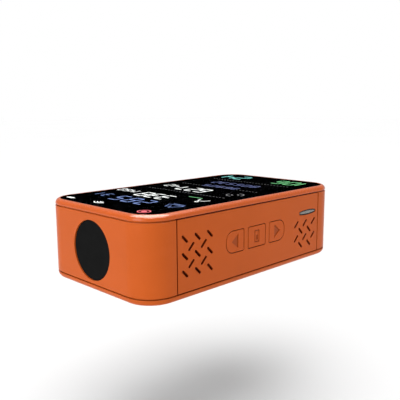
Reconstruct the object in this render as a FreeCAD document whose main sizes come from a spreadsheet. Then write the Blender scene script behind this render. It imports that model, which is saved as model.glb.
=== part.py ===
"""Avalanche transceiver: a pocket radio beacon with a full-face display and three side keys.

The case is a rounded box. It lies on its flat back, so +Z points out of the display, +X runs
along the case away from the round end window, and the keys are in the side that faces -Y.
The origin is the centre of the back face. Every length is in millimetres.

The driving dimensions are cells of the sheet "Sizes". A Size holds a number together with the
expression that works it out from those cells, so each feature below is bound to the sheet.
"""
import FreeCAD
import Part
import Sketcher
import math
import operator
import os
from types import SimpleNamespace

SIZES = (
    ("body_length", 114.0, "outside length, along X"),
    ("body_width", 64.6, "outside width, along Y"),
    ("body_height", 32.2, "back face to the top of the cover glass"),
    ("corner_radius", 11.3, "outside corners seen from above"),
    ("shell_wall", 3.6, "wall of the main housing"),
    ("edge_softness", 0.2, "small rounding of the moulded edges"),
    ("base_height", 2.35, "height of the bottom cover's edge"),
    ("base_round", 2.2, "rounding under the bottom cover"),
    ("rim_height", 2.15, "height of the top bezel"),
    ("rim_round", 1.9, "rounding over the top bezel"),
    ("rim_below_glass", 0.1, "how far the bezel lies below the glass"),
    ("seam_gap", 0.5, "width of the seams between the mouldings"),
    ("seam_depth", 0.7, "depth of those seams"),
    ("loose_fit", 0.05, "clearance between mouldings that meet"),
    ("seal_inset", 2.4, "outside face to the outside of the seals"),
    ("seal_width", 0.9, "width of the two case seals"),
    ("seal_height", 0.45, "height of the two case seals"),
    ("glass_inset", 2.0, "outside face to the edge of the glass"),
    ("glass_thickness", 1.1, "cover glass"),
    ("tape_thickness", 0.2, "adhesive under the glass"),
    ("ledge_inset", 4.6, "outside face to the bezel's opening"),
    ("skirt_inset", 3.75, "outside face to the bezel's skirt"),
    ("screen_inset", 5.4, "outside face to the display"),
    ("screen_corner", 6.0, "corners of the display"),
    ("screen_thickness", 1.3, "display laminate"),
    ("tray_thickness", 1.2, "display tray"),
    ("tray_wall", 0.8, "folded rim of the display tray"),
    ("carrier_thickness", 1.5, "plate that carries display and board"),
    ("carrier_gap", 0.2, "carrier to housing"),
    ("board_thickness", 1.2, "printed circuit boards"),
    ("board_clearance", 1.7, "main board to carrier"),
    ("board_half_length", 44.0, "main board, along X"),
    ("board_front", -21.0, "front edge of the main board"),
    ("board_rear", 26.5, "rear edge of the main board"),
    ("panel_half_length", 43.25, "side panels, along X"),
    ("panel_thickness", 1.8, "side panels"),
    ("key_level", 16.67, "height of the keys' centres"),
    ("key_height", 8.35, "height of each key"),
    ("key_gap", 0.3, "gap round each key"),
    ("middle_key_width", 10.5, "width of the middle key"),
    ("side_key_inner", 8.1, "inner edge of the side keys"),
    ("side_key_outer", 18.05, "outer edge of the side keys"),
    ("side_key_round", 3.6, "large corners of the side keys"),
    ("key_corner", 0.5, "small corners of the keys"),
    ("key_flange", 0.7, "how far a key's flange stands out behind the panel"),
    ("flange_thickness", 0.8, "flange of a key"),
    ("key_travel", 0.5, "travel of the keys"),
    ("key_stem_radius", 1.5, "stem behind each key"),
    ("icon_depth", 0.35, "depth of the sunk key icons"),
    ("arrow_length", 3.9, "arrow icons"),
    ("arrow_base", 5.8, "arrow icons"),
    ("slot_length", 3.9, "sound slots"),
    ("slot_width", 0.75, "sound slots"),
    ("slot_pitch", 6.31, "spacing of the sound slots"),
    ("grille_place", 33.43, "grille centres, along X"),
    ("left_grille_level", 15.86, "middle row of the left grille"),
    ("right_grille_level", 10.69, "middle row of the right grille"),
    ("mesh_thickness", 0.3, "dust mesh"),
    ("mesh_half_width", 8.7, "dust mesh, along X"),
    ("light_place", 35.3, "status light, along X"),
    ("light_level", 21.6, "status light, above the back"),
    ("light_half_length", 6.15, "opening of the status light"),
    ("light_half_height", 1.15, "opening of the status light at its middle"),
    ("light_end_half_height", 0.65, "opening of the status light at its ends"),
    ("window_level", 15.55, "centre of the end window"),
    ("window_radius", 11.5, "seat of the end window"),
    ("window_bore", 9.8, "bore behind the end window"),
    ("window_sunk", 0.45, "end window below the end face"),
    ("window_thickness", 1.15, "end window"),
    ("boss_along", 49.1, "corner bosses, along X"),
    ("boss_across", 24.4, "corner bosses, along Y"),
    ("boss_radius", 3.4, "corner bosses"),
    ("ferrite_radius", 4.0, "ferrite rods"),
    ("coil_radius", 5.0, "antenna windings"),
    ("port_half_width", 6.4, "port flap, along Y"),
    ("port_half_height", 3.25, "port flap, along Z"),
    ("flap_thickness", 1.45, "port flap"),
    ("hinge_across", 7.3, "hinge of the port flap, along Y"),
    ("hinge_radius", 0.7, "hinge barrel of the port flap"),
    ("hinge_pin_radius", 0.36, "hinge pin of the port flap"),
    ("rib_thickness", 1.5, "locating ribs of the bottom cover"),
    ("rib_height", 2.0, "locating ribs of the bottom cover"),
    ("long_rib_reach", 38.0, "half length of the ribs along X"),
    ("short_rib_reach", 14.0, "half length of the ribs along Y"),
    ("cover_head_radius", 2.3, "heads of the cover screws"),
    ("cover_head_sunk", 0.4, "back face to the heads of the cover screws"),
    ("cover_head_height", 0.9, "heads of the cover screws"),
    ("cover_shank_radius", 1.2, "shanks of the cover screws"),
    ("insert_radius", 2.1, "threaded inserts"),
    ("insert_length", 5.6, "threaded inserts"),
    ("small_shank_radius", 0.85, "shanks of the screws inside"),
    ("small_head_radius", 1.8, "heads of the screws inside"),
    ("small_head_height", 0.9, "heads of the screws inside"),
    ("small_grip", 3.2, "how far the screws inside reach into their posts"),
    ("post_place", 22.2, "posts of the key board, along X"),
    ("post_radius", 1.6, "posts of the key board"),
    ("key_board_half_length", 24.0, "key board"),
    ("key_board_half_height", 7.1, "key board"),
    ("switch_size", 6.0, "switches"),
    ("switch_depth", 2.9, "switches"),
    ("plunger_radius", 1.7, "plungers of the switches"),
    ("collar_radius", 2.4, "collars of the key seal"),
    ("seal_web", 0.7, "web of the key seal"),
    ("left_speaker_radius", 9.0, "large loudspeaker"),
    ("right_speaker_radius", 7.4, "small loudspeaker"),
    ("speaker_depth", 3.3, "baskets of the loudspeakers"),
    ("magnet_depth", 2.2, "magnets behind the baskets"),
    ("lamp_depth", 8.0, "reflector behind the end window"),
    ("lamp_flange_radius", 11.0, "flange of the reflector"),
    ("ribbon_thickness", 0.2, "flexible leads"),
    ("battery_half_length", 30.0, "battery pack"),
    ("battery_half_width", 15.0, "battery pack"),
    ("battery_top", 18.4, "top of the battery pack"),
    ("motor_radius", 5.0, "vibration motor"),
    ("motor_height", 3.2, "vibration motor"),
    ("socket_half_width", 4.47, "charge socket"),
    ("socket_half_height", 1.63, "charge socket"),
    ("socket_wall", 0.3, "charge socket"),
    ("socket_length", 7.3, "charge socket"),
    ("tray_play", 0.2, "display tray to the carrier plate"),
    ("tray_floor", 0.4, "floor of the display tray"),
    ("tape_inset", 0.2, "edges of the ledge and the glass to the tape"),
    ("skirt_root", 0.3, "how far the skirt runs up into the rim"),
    ("short_side", 0.03, "straight side left at the ends of a nearly round outline"),
    ("flange_play", 0.1, "back of the panel to the flanges of the keys"),
    ("key_window_play", 0.5, "wall opening round the flanges of the keys"),
    ("stem_length", 2.7, "stem of a key behind its flange"),
    ("stem_play", 0.08, "holes of the key seal round the stems"),
    ("plunger_reach", 0.6, "plungers in front of their switches"),
    ("plunger_well", 2.4, "depth of the wells that the plungers slide in"),
    ("plunger_play", 0.1, "plungers in their wells"),
    ("frame_width", 3.0, "upright frame icon"),
    ("frame_height", 5.0, "upright frame icon"),
    ("frame_stroke", 0.45, "line of the upright frame icon"),
    ("level_bar_width", 1.2, "bar inside the frame icon"),
    ("level_bar_low", 1.6, "middle of the key down to the foot of the bar"),
    ("level_bar_high", 0.5, "middle of the key up to the top of the bar"),
    ("mesh_play", 0.1, "dust mesh in its seat"),
    ("right_mesh_rise", 1.6, "middle row of the right grille up to the middle of its mesh"),
    ("right_mesh_less", 1.7, "how much less the right mesh reaches up and down than the left"),
    ("surround_wall", 0.35, "surround of the status light"),
    ("surround_sunk", 0.3, "panel face to the surround"),
    ("lens_sunk", 0.15, "panel face to the lens"),
    ("lens_back", 0.3, "back of the panel to the back of the lens"),
    ("pipe_inset", 0.95, "end of the light opening to the light pipe"),
    ("pipe_half_height", 0.6, "light pipe behind the lens"),
    ("light_board_half_length", 7.0, "board of the status light"),
    ("light_board_thickness", 0.8, "board of the status light"),
    ("light_board_drop", 2.2, "middle of the light down to the foot of its board"),
    ("diode_half_length", 0.8, "diodes of the status light"),
    ("diode_half_height", 0.4, "diodes of the status light"),
    ("diode_depth", 0.7, "diodes of the status light"),
    ("diode_gap", 0.2, "light pipe to the diodes"),
    ("diode_place", 2.8, "diodes on each side of the middle of the light"),
    ("window_play", 0.1, "end window in its seat"),
    ("window_seal", 0.4, "seal behind the end window"),
    ("lamp_play", 0.2, "reflector in its bore"),
    ("lamp_flange", 1.0, "flange of the reflector"),
    ("reflector_wall", 0.7, "wall of the reflector at its mouth"),
    ("reflector_throat", 3.0, "narrow end of the reflector"),
    ("lamp_diode_half", 1.75, "diode of the lamp"),
    ("lamp_diode_depth", 0.9, "diode of the lamp"),
    ("seal_gap", 0.4, "key seal to the posts"),
    ("collar_height", 0.6, "collars of the key seal"),
    ("key_lead_half_width", 6.0, "lead of the key board"),
    ("key_lead_start", 2.5, "middle of the keys up to the start of the lead"),
    ("key_lead_foot", 4.0, "how far the lead laps the main board"),
    ("speaker_wall", 1.0, "wall of a loudspeaker's basket"),
    ("speaker_back", 0.9, "back wall of a loudspeaker's basket"),
    ("cone_thickness", 0.35, "cones of the loudspeakers"),
    ("cone_gap", 0.5, "cone to the back wall of its basket"),
    ("cone_share", 0.35, "narrow radius of a cone, as a share of its loudspeaker's"),
    ("magnet_share", 0.55, "radius of a magnet, as a share of its loudspeaker's"),
    ("ribbon_out", 2.2, "end of the main board to the display ribbon"),
    ("ribbon_foot", 3.0, "how far the display ribbon laps the main board"),
    ("ribbon_lap", 2.0, "how far the display ribbon laps the tray"),
    ("ribbon_near", 6.0, "display ribbon, along Y"),
    ("ribbon_far", 18.0, "display ribbon, along Y"),
    ("ribbon_play", 1.0, "slot of the carrier plate round the ribbon"),
    ("carrier_window_place", 21.5, "windows of the carrier plate, along X"),
    ("carrier_window_half_length", 14.5, "windows of the carrier plate"),
    ("carrier_window_half_width", 18.0, "windows of the carrier plate"),
    ("carrier_window_corner", 3.0, "windows of the carrier plate"),
    ("standoff_radius", 2.2, "standoffs of the main board"),
    ("post_root", 0.5, "how far posts and shanks run into the part that they stand on"),
    ("pilot_floor", 0.4, "plate left above the pilot holes of the standoffs"),
    ("pilot_extra", 0.3, "pilot holes past the ends of their screws"),
    ("hole_play", 0.1, "holes of boards and plates round their screws"),
    ("sink_play", 0.2, "counterbores round the heads of their screws"),
    ("cover_hole_play", 0.15, "holes of the back round the cover screws"),
    ("board_screw_along", 40.0, "screws of the main board, along X"),
    ("board_screw_front", -17.5, "screws of the main board near the keys"),
    ("board_screw_rear", 22.5, "screws of the main board near the rear panel"),
    ("board_screw_tip", 0.6, "how far the board screws reach into the carrier plate"),
    ("board_end_play", 0.4, "tongue of the main board to the end wall"),
    ("board_tongue_root", 4.0, "how far the tongue runs into the main board"),
    ("board_tongue_reach", 7.0, "half width of the tongue of the main board"),
    ("can_height", 1.4, "shield cans"),
    ("chip_height", 0.9, "chips"),
    ("battery_along", 8.0, "middle of the battery pack, along X"),
    ("battery_across", -0.5, "middle of the battery pack, along Y"),
    ("battery_corner", 2.0, "upright corners of the battery pack"),
    ("battery_softness", 1.5, "rounding over the battery pack"),
    ("battery_lead_near", 20.0, "lead of the battery pack, along X"),
    ("battery_lead_far", 26.0, "lead of the battery pack, along X"),
    ("battery_lead_out", 2.7, "battery pack to the rise of its lead"),
    ("battery_lead_lap", 5.2, "how far the lead runs in from its rise"),
    ("saddle_half_thickness", 2.0, "antenna saddles"),
    ("saddle_wall", 0.5, "antenna saddles beside their rods"),
    ("saddle_drop", 0.2, "middle of a rod down to the top of its saddle"),
    ("long_saddle_place", 31.0, "saddles of the long antenna, along X"),
    ("cross_saddle_place", 14.0, "saddles of the cross antenna, along Y"),
    ("upright_collar_wall", 2.0, "collar of the upright antenna"),
    ("upright_collar_height", 2.65, "collar of the upright antenna"),
    ("motor_along", -32.0, "vibration motor, along X"),
    ("motor_across", -12.0, "vibration motor, along Y"),
    ("socket_reach", 1.3, "inner face of the end wall to the mouth of the socket"),
    ("socket_back", 0.5, "back wall of the charge socket"),
    ("socket_tongue_reach", 3.3, "half width of the tongue in the charge socket"),
    ("socket_tongue_half", 0.35, "half thickness of the tongue in the charge socket"),
    ("socket_tongue_sunk", 0.8, "mouth of the charge socket to its tongue"),
    ("plug_depth", 0.55, "plug behind the port flap"),
    ("plug_lip_across", 0.18, "plug beyond the charge socket, along Y"),
    ("plug_lip_up", 0.12, "plug beyond the charge socket, along Z"),
    ("plug_play", 0.2, "plug in its mouth"),
    ("recess_play", 0.15, "port flap in its recess"),
    ("web_inset", 1.4, "end of the port flap to the root of its web"),
    ("web_thinner", 0.2, "how much thinner the web is than the flap, each side"),
    ("hinge_inset", 0.9, "top of the port flap to the end of its barrel"),
    ("barrel_play", 0.25, "ends of the barrel in their recess"),
    ("pin_fit", 0.01, "hole of the housing round the hinge pin"),
    ("pin_play", 0.04, "hole of the flap round the hinge pin"),
    ("nail_radius", 2.2, "fingernail notch beside the port flap"),
    ("nail_half_height", 2.0, "fingernail notch beside the port flap"),
    ("nail_out", 1.3, "end face out to the axis of the fingernail notch"),
    ("nail_aside", 0.4, "end of the port flap to the axis of the fingernail notch"),
    ("hex_radius", 1.05, "corner radius of the hex sockets"),
    ("hex_floor", 0.3, "metal left under the hex sockets"),
    ("shank_short", 0.2, "tips of the cover screws below the tops of the inserts"),
    ("insert_play", 0.1, "insert holes past the ends of the inserts"),
)

PLANES = {"XY": "XY_Plane", "XZ": "XZ_Plane", "YZ": "YZ_Plane"}
TURNS = {
    "X": FreeCAD.Rotation(FreeCAD.Vector(0, 1, 0), 90),
    "Y": FreeCAD.Rotation(FreeCAD.Vector(1, 0, 0), -90),
    "Z": FreeCAD.Rotation(),
}
OPERATORS = {
    "+": operator.add,
    "-": operator.sub,
    "*": operator.mul,
    "/": operator.truediv,
}
OVERCUT = 1.0
SLANT = math.sqrt(0.5)
TOLERANCE = 1e-3


class Size:
    """A number and the expression that recomputes it from the sheet."""

    def __init__(self, number, text):
        self.number = float(number)
        self.text = text

    def __add__(self, other):
        return combine(self, "+", other)

    def __radd__(self, other):
        return combine(other, "+", self)

    def __sub__(self, other):
        return combine(self, "-", other)

    def __rsub__(self, other):
        return combine(other, "-", self)

    def __mul__(self, other):
        return combine(self, "*", other)

    def __rmul__(self, other):
        return combine(other, "*", self)

    def __truediv__(self, other):
        return combine(self, "/", other)

    def __neg__(self):
        return combine(0.0, "-", self)


def as_size(value):
    if isinstance(value, Size):
        return value
    return Size(value, f"({float(value)!r})")


def combine(left, sign, right):
    left, right = as_size(left), as_size(right)
    number = OPERATORS[sign](left.number, right.number)
    return Size(number, f"({left.text} {sign} {right.text})")


doc = FreeCAD.newDocument("AvalancheTransceiver")
sheet = doc.addObject("Spreadsheet::Sheet", "Sizes")
for row, (alias, value, meaning) in enumerate(SIZES, start=1):
    sheet.set(f"A{row}", alias)
    sheet.set(f"B{row}", str(value))
    sheet.set(f"C{row}", meaning)
    sheet.setAlias(f"B{row}", alias)
s = SimpleNamespace(**{alias: Size(value, f"Sizes.{alias}") for alias, value, _ in SIZES})
doc.recompute()

half_length = s.body_length / 2
half_width = s.body_width / 2
rim_top = s.body_height - s.rim_below_glass
rim_bottom = rim_top - s.rim_height
band_bottom = s.base_height + s.seam_gap
band_top = rim_bottom - s.seam_gap
tongue_bottom = s.base_height + s.loose_fit
tongue_top = rim_bottom - s.loose_fit
glass_bottom = s.body_height - s.glass_thickness
tape_bottom = glass_bottom - s.tape_thickness
screen_bottom = glass_bottom - s.screen_thickness
tray_bottom = screen_bottom - s.tray_thickness
carrier_top = tray_bottom - s.tray_play
carrier_bottom = carrier_top - s.carrier_thickness
board_top = carrier_bottom - s.board_clearance
board_bottom = board_top - s.board_thickness
front = -half_width
panel_back = front + s.panel_thickness
wall_back = front + s.shell_wall
flange_front = panel_back + s.flange_play
flange_back = flange_front + s.flange_thickness
stem_back = flange_back + s.stem_length
switch_front = stem_back + s.plunger_reach
switch_back = switch_front + s.switch_depth
key_board_back = switch_back + s.board_thickness
window_front = s.window_sunk - half_length
window_back = window_front + s.window_thickness
window_floor = window_back + s.window_seal
lamp_front = window_floor + s.lamp_play
lamp_back = window_floor + s.lamp_depth
port_level = board_bottom - s.socket_half_height
insert_top = tongue_bottom + s.insert_length
flap_back = half_length - s.flap_thickness
hinge_half_height = s.port_half_height - s.hinge_inset
right_sound_level = s.right_grille_level + s.right_mesh_rise
side_key_half = (s.side_key_outer - s.side_key_inner) / 2
side_key_centre = (s.side_key_outer + s.side_key_inner) / 2
middle_key_half = s.middle_key_width / 2
key_half_height = s.key_height / 2
KEYS = (("left", -1), ("mode", 0), ("right", 1))
CORNERS = ((-1, -1), (1, -1), (1, 1), (-1, 1))
pieces = []


def bind(thing, name, value):
    """Binds one property to a size's expression."""
    thing.setExpression(name, as_size(value).text)


def place(thing, x, y, z):
    for axis, value in zip("xyz", (x, y, z)):
        bind(thing, f"Placement.Base.{axis}", value)
    return thing


def piece(label, thing):
    """Names a finished sub-part, and keeps it for export."""
    thing.Label = label
    pieces.append(thing)
    return thing


def block(name, x, y, z):
    """A box between the two values given on each axis."""
    solid = doc.addObject("Part::Box", name)
    for side, (low, high) in zip(("Length", "Width", "Height"), (x, y, z)):
        bind(solid, side, as_size(high) - low)
    return place(solid, x[0], y[0], z[0])


def on_axis(axis, start, centre):
    """The point at start along an axis, where centre gives the two other coordinates."""
    first, second = centre
    return {"X": (start, first, second), "Y": (first, start, second), "Z": (first, second, start)}[axis]


def rod(name, axis, radius, low, high, centre):
    """A cylinder along an axis from low to high, with its axis through centre."""
    solid = doc.addObject("Part::Cylinder", name)
    solid.Placement = FreeCAD.Placement(FreeCAD.Vector(), TURNS[axis])
    bind(solid, "Radius", radius)
    bind(solid, "Height", as_size(high) - low)
    return place(solid, *on_axis(axis, low, centre))


def cone(name, axis, low_radius, high_radius, low, high, centre):
    solid = doc.addObject("Part::Cone", name)
    solid.Placement = FreeCAD.Placement(FreeCAD.Vector(), TURNS[axis])
    bind(solid, "Radius1", low_radius)
    bind(solid, "Radius2", high_radius)
    bind(solid, "Height", as_size(high) - low)
    return place(solid, *on_axis(axis, low, centre))


def fuse(name, *solids):
    joined = doc.addObject("Part::MultiFuse", name)
    joined.Shapes = list(solids)
    joined.Refine = True
    return joined


def group(name, *solids):
    """Separate solids that count as one sub-part, such as four like screws."""
    gathered = doc.addObject("Part::Compound", name)
    gathered.Links = list(solids)
    return gathered


def cut(name, base, *tools):
    """Base with the tools taken away. The tools may overlap one another."""
    result = doc.addObject("Part::Cut", name)
    result.Base = base
    result.Tool = tools[0] if len(tools) == 1 else fuse(f"{name}_tools", *tools)
    return result


def common(name, *solids):
    shared = doc.addObject("Part::MultiCommon", name)
    shared.Shapes = list(solids)
    return shared


def tube(name, axis, outer, inner, low, high, centre):
    return cut(
        name,
        rod(f"{name}_outside", axis, outer, low, high, centre),
        rod(f"{name}_bore", axis, inner, as_size(low) - OVERCUT, high + OVERCUT, centre),
    )


def new_body(name):
    return doc.addObject("PartDesign::Body", name)


def new_sketch(body, plane, level, centre):
    """A sketch on one of the body's origin planes. The XZ plane faces -Y."""
    sketch = body.newObject("Sketcher::SketchObject", f"{body.Name}_sketch")
    role = PLANES[plane]
    support = next(f for f in body.Origin.OriginFeatures if f.Role == role)
    sketch.AttachmentSupport = (support, [""])
    sketch.MapMode = "FlatFace"
    bind(sketch, "AttachmentOffset.Base.x", centre[0])
    bind(sketch, "AttachmentOffset.Base.y", centre[1])
    bind(sketch, "AttachmentOffset.Base.z", -level if plane == "XZ" else level)
    return sketch


def constrain(sketch, name, value, kind, *where):
    """Adds a dimension to a sketch and binds it to the sheet."""
    index = sketch.addConstraint(Sketcher.Constraint(kind, *where, as_size(value).number))
    sketch.renameConstraint(index, name)
    bind(sketch, f"Constraints.{name}", value)


def draw_rounded_rectangle(sketch, half, left_radius, right_radius):
    """Four sides and four corner arcs about the sketch's origin, fully constrained."""
    u, v = (as_size(value).number for value in half)
    left, right = as_size(left_radius).number, as_size(right_radius).number

    def side(*ends):
        return Part.LineSegment(*(FreeCAD.Vector(*end, 0) for end in ends))

    def corner(centre, radius, quarter):
        circle = Part.Circle(FreeCAD.Vector(*centre, 0), FreeCAD.Vector(0, 0, 1), radius)
        return Part.ArcOfCircle(circle, quarter * math.pi / 2, (quarter + 1) * math.pi / 2)

    sketch.addGeometry(
        [
            side((left - u, -v), (u - right, -v)),
            side((u, right - v), (u, v - right)),
            side((u - right, v), (left - u, v)),
            side((-u, v - left), (-u, left - v)),
            corner((u - right, right - v), right, 3),
            corner((u - right, v - right), right, 0),
            corner((left - u, v - left), left, 1),
            corner((left - u, left - v), left, 2),
        ],
        False,
    )
    shape = [Sketcher.Constraint("Tangent", line, 2, line + 4, 1) for line in range(4)]
    shape += [Sketcher.Constraint("Tangent", 4 + line, 2, (line + 1) % 4, 1) for line in range(4)]
    shape += [Sketcher.Constraint("Horizontal", line) for line in (0, 2)]
    shape += [Sketcher.Constraint("Vertical", line) for line in (1, 3)]
    shape += [Sketcher.Constraint("Equal", 4, 5), Sketcher.Constraint("Equal", 6, 7)]
    sketch.addConstraint(shape)
    constrain(sketch, "right_radius", right_radius, "Radius", 4)
    constrain(sketch, "left_radius", left_radius, "Radius", 6)
    constrain(sketch, "right", half[0], "DistanceX", -1, 1, 1, 1)
    constrain(sketch, "left", half[0], "DistanceX", 3, 1, -1, 1)
    constrain(sketch, "top", half[1], "DistanceY", -1, 1, 2, 1)
    constrain(sketch, "bottom", half[1], "DistanceY", 0, 1, -1, 1)


def draw_triangle(sketch, length, base, direction):
    """An arrowhead with its base on the sketch's vertical axis and its tip towards direction."""
    reach, rise = as_size(length).number, as_size(base).number / 2
    points = [(0, -rise), (0, rise), (direction * reach, 0)]
    for start, end in ((0, 1), (1, 2), (2, 0)):
        ends = (FreeCAD.Vector(*points[number], 0) for number in (start, end))
        sketch.addGeometry(Part.LineSegment(*ends), False)
    shape = [Sketcher.Constraint("Coincident", line, 2, (line + 1) % 3, 1) for line in range(3)]
    shape.append(Sketcher.Constraint("Symmetric", 0, 1, 0, 2, -1, 1))
    shape.append(Sketcher.Constraint("Vertical", 0))
    shape.append(Sketcher.Constraint("PointOnObject", 1, 2, -1))
    sketch.addConstraint(shape)
    constrain(sketch, "base", base, "DistanceY", 0, 1, 0, 2)
    ends = (-1, 1, 1, 2) if direction > 0 else (1, 2, -1, 1)
    constrain(sketch, "reach", length, "DistanceX", *ends)


def extrude(body, sketch, depth, remove):
    """Pads a sketch, or with remove cuts a pocket by it."""
    kind = "Pocket" if remove else "Pad"
    feature = body.newObject(f"PartDesign::{kind}", f"{body.Name}_{kind.lower()}")
    feature.Profile = sketch
    bind(feature, "Length", depth)
    return body


def prism(body, plane, half, radii, low, high, centre=(0.0, 0.0), remove=False):
    """A rounded rectangle on an origin plane, from low to high along the plane's axis."""
    from_high = (plane == "XZ") != remove
    level = as_size(high if from_high else low)
    left_radius, right_radius = radii if isinstance(radii, tuple) else (radii, radii)
    sketch = new_sketch(body, plane, level, centre)
    draw_rounded_rectangle(sketch, half, left_radius, right_radius)
    return extrude(body, sketch, as_size(high) - low, remove)


def soften(body, radius, axis, level):
    """Rounds the edges of a body that lie at one level on an axis."""
    doc.recompute()
    tip, height = body.Tip, as_size(level).number
    names = []
    for number, edge in enumerate(tip.Shape.Edges, start=1):
        box = edge.BoundBox
        ends = (getattr(box, f"{axis}Min"), getattr(box, f"{axis}Max"))
        if all(abs(end - height) < TOLERANCE for end in ends):
            names.append(f"Edge{number}")
    fillet = body.newObject("PartDesign::Fillet", f"{body.Name}_fillet")
    fillet.Base = (tip, names)
    bind(fillet, "Radius", radius)
    return body


def inset_outline(inset):
    """Half length, half width and corner radius of the case outline moved inwards."""
    return (half_length - inset, half_width - inset), s.corner_radius - inset


def slab(name, inset, low, high):
    """A plate of the case's outline, moved inwards by inset."""
    half, radius = inset_outline(inset)
    return prism(new_body(name), "XY", half, radius, low, high)


def ring(name, outer_inset, inner_inset, low, high):
    body = slab(name, outer_inset, low, high)
    half, radius = inset_outline(inner_inset)
    return prism(body, "XY", half, radius, as_size(low) - OVERCUT, high, remove=True)


def at_corners(make):
    """What make gives for the place of each corner boss."""
    return [make((s.boss_along * along, s.boss_across * across)) for along, across in CORNERS]


def between(first, second):
    """Two sizes in rising order."""
    return (first, second) if first.number < second.number else (second, first)


def screw(name, axis, head, shank, centre):
    """A cylinder for the head and one for the shank, each given as a radius and two ends."""
    return fuse(name, rod(f"{name}_head", axis, *head, centre), rod(f"{name}_shank", axis, *shank, centre))


def boat(name, shrink, low, high):
    """The pointed oval of the status light, shrunk all round, from low to high along Y."""
    reach = s.light_half_length - shrink
    middle = s.light_half_height - shrink
    rise = s.light_half_height - s.light_end_half_height
    radius = (s.light_half_length * s.light_half_length + rise * rise) / (rise * 2)
    arcs = [
        rod(f"{name}_arc", "Y", radius, low, high, (s.light_place, s.light_level + (middle - radius) * way))
        for way in (-1, 1)
    ]
    along = (s.light_place - reach, s.light_place + reach)
    level = (s.light_level - middle, s.light_level + middle)
    return common(name, *arcs, block(f"{name}_length", along, (low, high), level))


def sound_slot(name, x, z, lean):
    """The cutter of one slanted slot. Lean is 1 where the slot rises with X and -1 where it falls."""
    reach = (s.slot_length - s.slot_width) / 2
    radius = s.slot_width / 2
    low, high = front - OVERCUT, panel_back + OVERCUT
    bar = doc.addObject("Part::Box", f"{name}_bar")
    slope = FreeCAD.Rotation(FreeCAD.Vector(0, 1, 0), -45 * lean)
    bar.Placement = FreeCAD.Placement(FreeCAD.Vector(), slope)
    bind(bar, "Length", reach * 2)
    bind(bar, "Width", high - low)
    bind(bar, "Height", s.slot_width)
    place(bar, x + (radius * lean - reach) * SLANT, low, z - (reach * lean + radius) * SLANT)
    ends = []
    for way in (-SLANT, SLANT):
        centre = (x + reach * way, z + reach * (lean * way))
        ends.append(rod(f"{name}_end", "Y", radius, low, high, centre))
    return fuse(name, bar, *ends)


def grille_cutters(side, level, rows, between_rows):
    """Slots on a square lattice with crossed slots at its half points, mirrored from side to side."""
    centre = s.grille_place * side
    slots = []
    for column in (-1, 0, 1):
        for up in rows:
            slots.append((centre + s.slot_pitch * column, level + s.slot_pitch * up, side))
    for column in (-0.5, 0.5):
        for up in between_rows:
            slots.append((centre + s.slot_pitch * column, level + s.slot_pitch * up, -side))
    return [sound_slot(f"slot_{number}", x, z, lean) for number, (x, z, lean) in enumerate(slots)]


# The case


def make_bottom_cover():
    """The flat back, with four ribs that locate it and four counterbored screw holes."""
    plate = slab("base_plate", 0.0, 0.0, s.base_height)
    soften(plate, s.base_round, "Z", 0.0)
    outer = s.shell_wall + s.loose_fit * 3
    inner = outer + s.rib_thickness
    level = (s.base_height / 2, s.base_height + s.rib_height)
    ribs = []
    for way in (-1, 1):
        across = between((half_width - outer) * way, (half_width - inner) * way)
        along = between((half_length - outer) * way, (half_length - inner) * way)
        ribs.append(block("long_rib", (-s.long_rib_reach, s.long_rib_reach), across, level))
        ribs.append(block("short_rib", along, (-s.short_rib_reach, s.short_rib_reach), level))
    seat = s.cover_head_sunk + s.cover_head_height
    radius = s.cover_shank_radius + s.cover_hole_play
    sink = s.cover_head_radius + s.sink_play
    holes = at_corners(lambda at: rod("cover_hole", "Z", radius, -OVERCUT, s.base_height + OVERCUT, at))
    sinks = at_corners(lambda at: rod("cover_sink", "Z", sink, -OVERCUT, seat, at))
    piece("bottom_cover", cut("cover", fuse("ribbed_plate", plate, *ribs), *holes, *sinks))


def make_main_housing():
    """The band of the case: end walls, corner bosses, and the seats of everything in the sides."""
    band = slab("band", 0.0, band_bottom, band_top)
    soften(band, s.edge_softness, "Z", band_top)
    soften(band, s.edge_softness, "Z", band_bottom)
    half, radius = inset_outline(s.seam_depth)
    prism(band, "XY", half, radius, tongue_bottom, tongue_top)
    half, radius = inset_outline(s.shell_wall)
    prism(band, "XY", half, radius, tongue_bottom - OVERCUT, tongue_top, remove=True)
    bosses = at_corners(lambda at: rod("boss", "Z", s.boss_radius, tongue_bottom, carrier_bottom, at))
    root = wall_back - s.post_root
    posts = [rod("post", "Y", s.post_radius, root, switch_back, at) for at in post_places()]
    pilot, depth = s.small_shank_radius + s.loose_fit, s.small_grip + s.pilot_extra
    top = insert_top + s.insert_play
    cutters = at_corners(lambda at: rod("insert_hole", "Z", s.insert_radius, 0.0, top, at))
    cutters += at_corners(
        lambda at: rod("carrier_pilot", "Z", pilot, carrier_bottom - depth, carrier_bottom + OVERCUT, at)
    )
    cutters += [
        rod("post_pilot", "Y", pilot, switch_back - depth, switch_back + OVERCUT, at)
        for at in post_places()
    ]
    cutters += panel_seats() + seal_seats() + side_windows() + end_seats()
    piece("main_housing", cut("housing", fuse("band_with_bosses", band, *bosses, *posts), *cutters))


def post_places():
    return [(s.post_place * way, s.key_level) for way in (-1, 1)]


def panel_seats():
    """The recesses in the long sides that take the two panels."""
    along = (-s.panel_half_length - s.seam_gap, s.panel_half_length + s.seam_gap)
    level = (0.0, s.body_height)
    inner = half_width - s.panel_thickness
    outer = half_width + OVERCUT
    return [
        block("front_seat", along, (-outer, -inner), level),
        block("rear_seat", along, (inner, outer), level),
    ]


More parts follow.
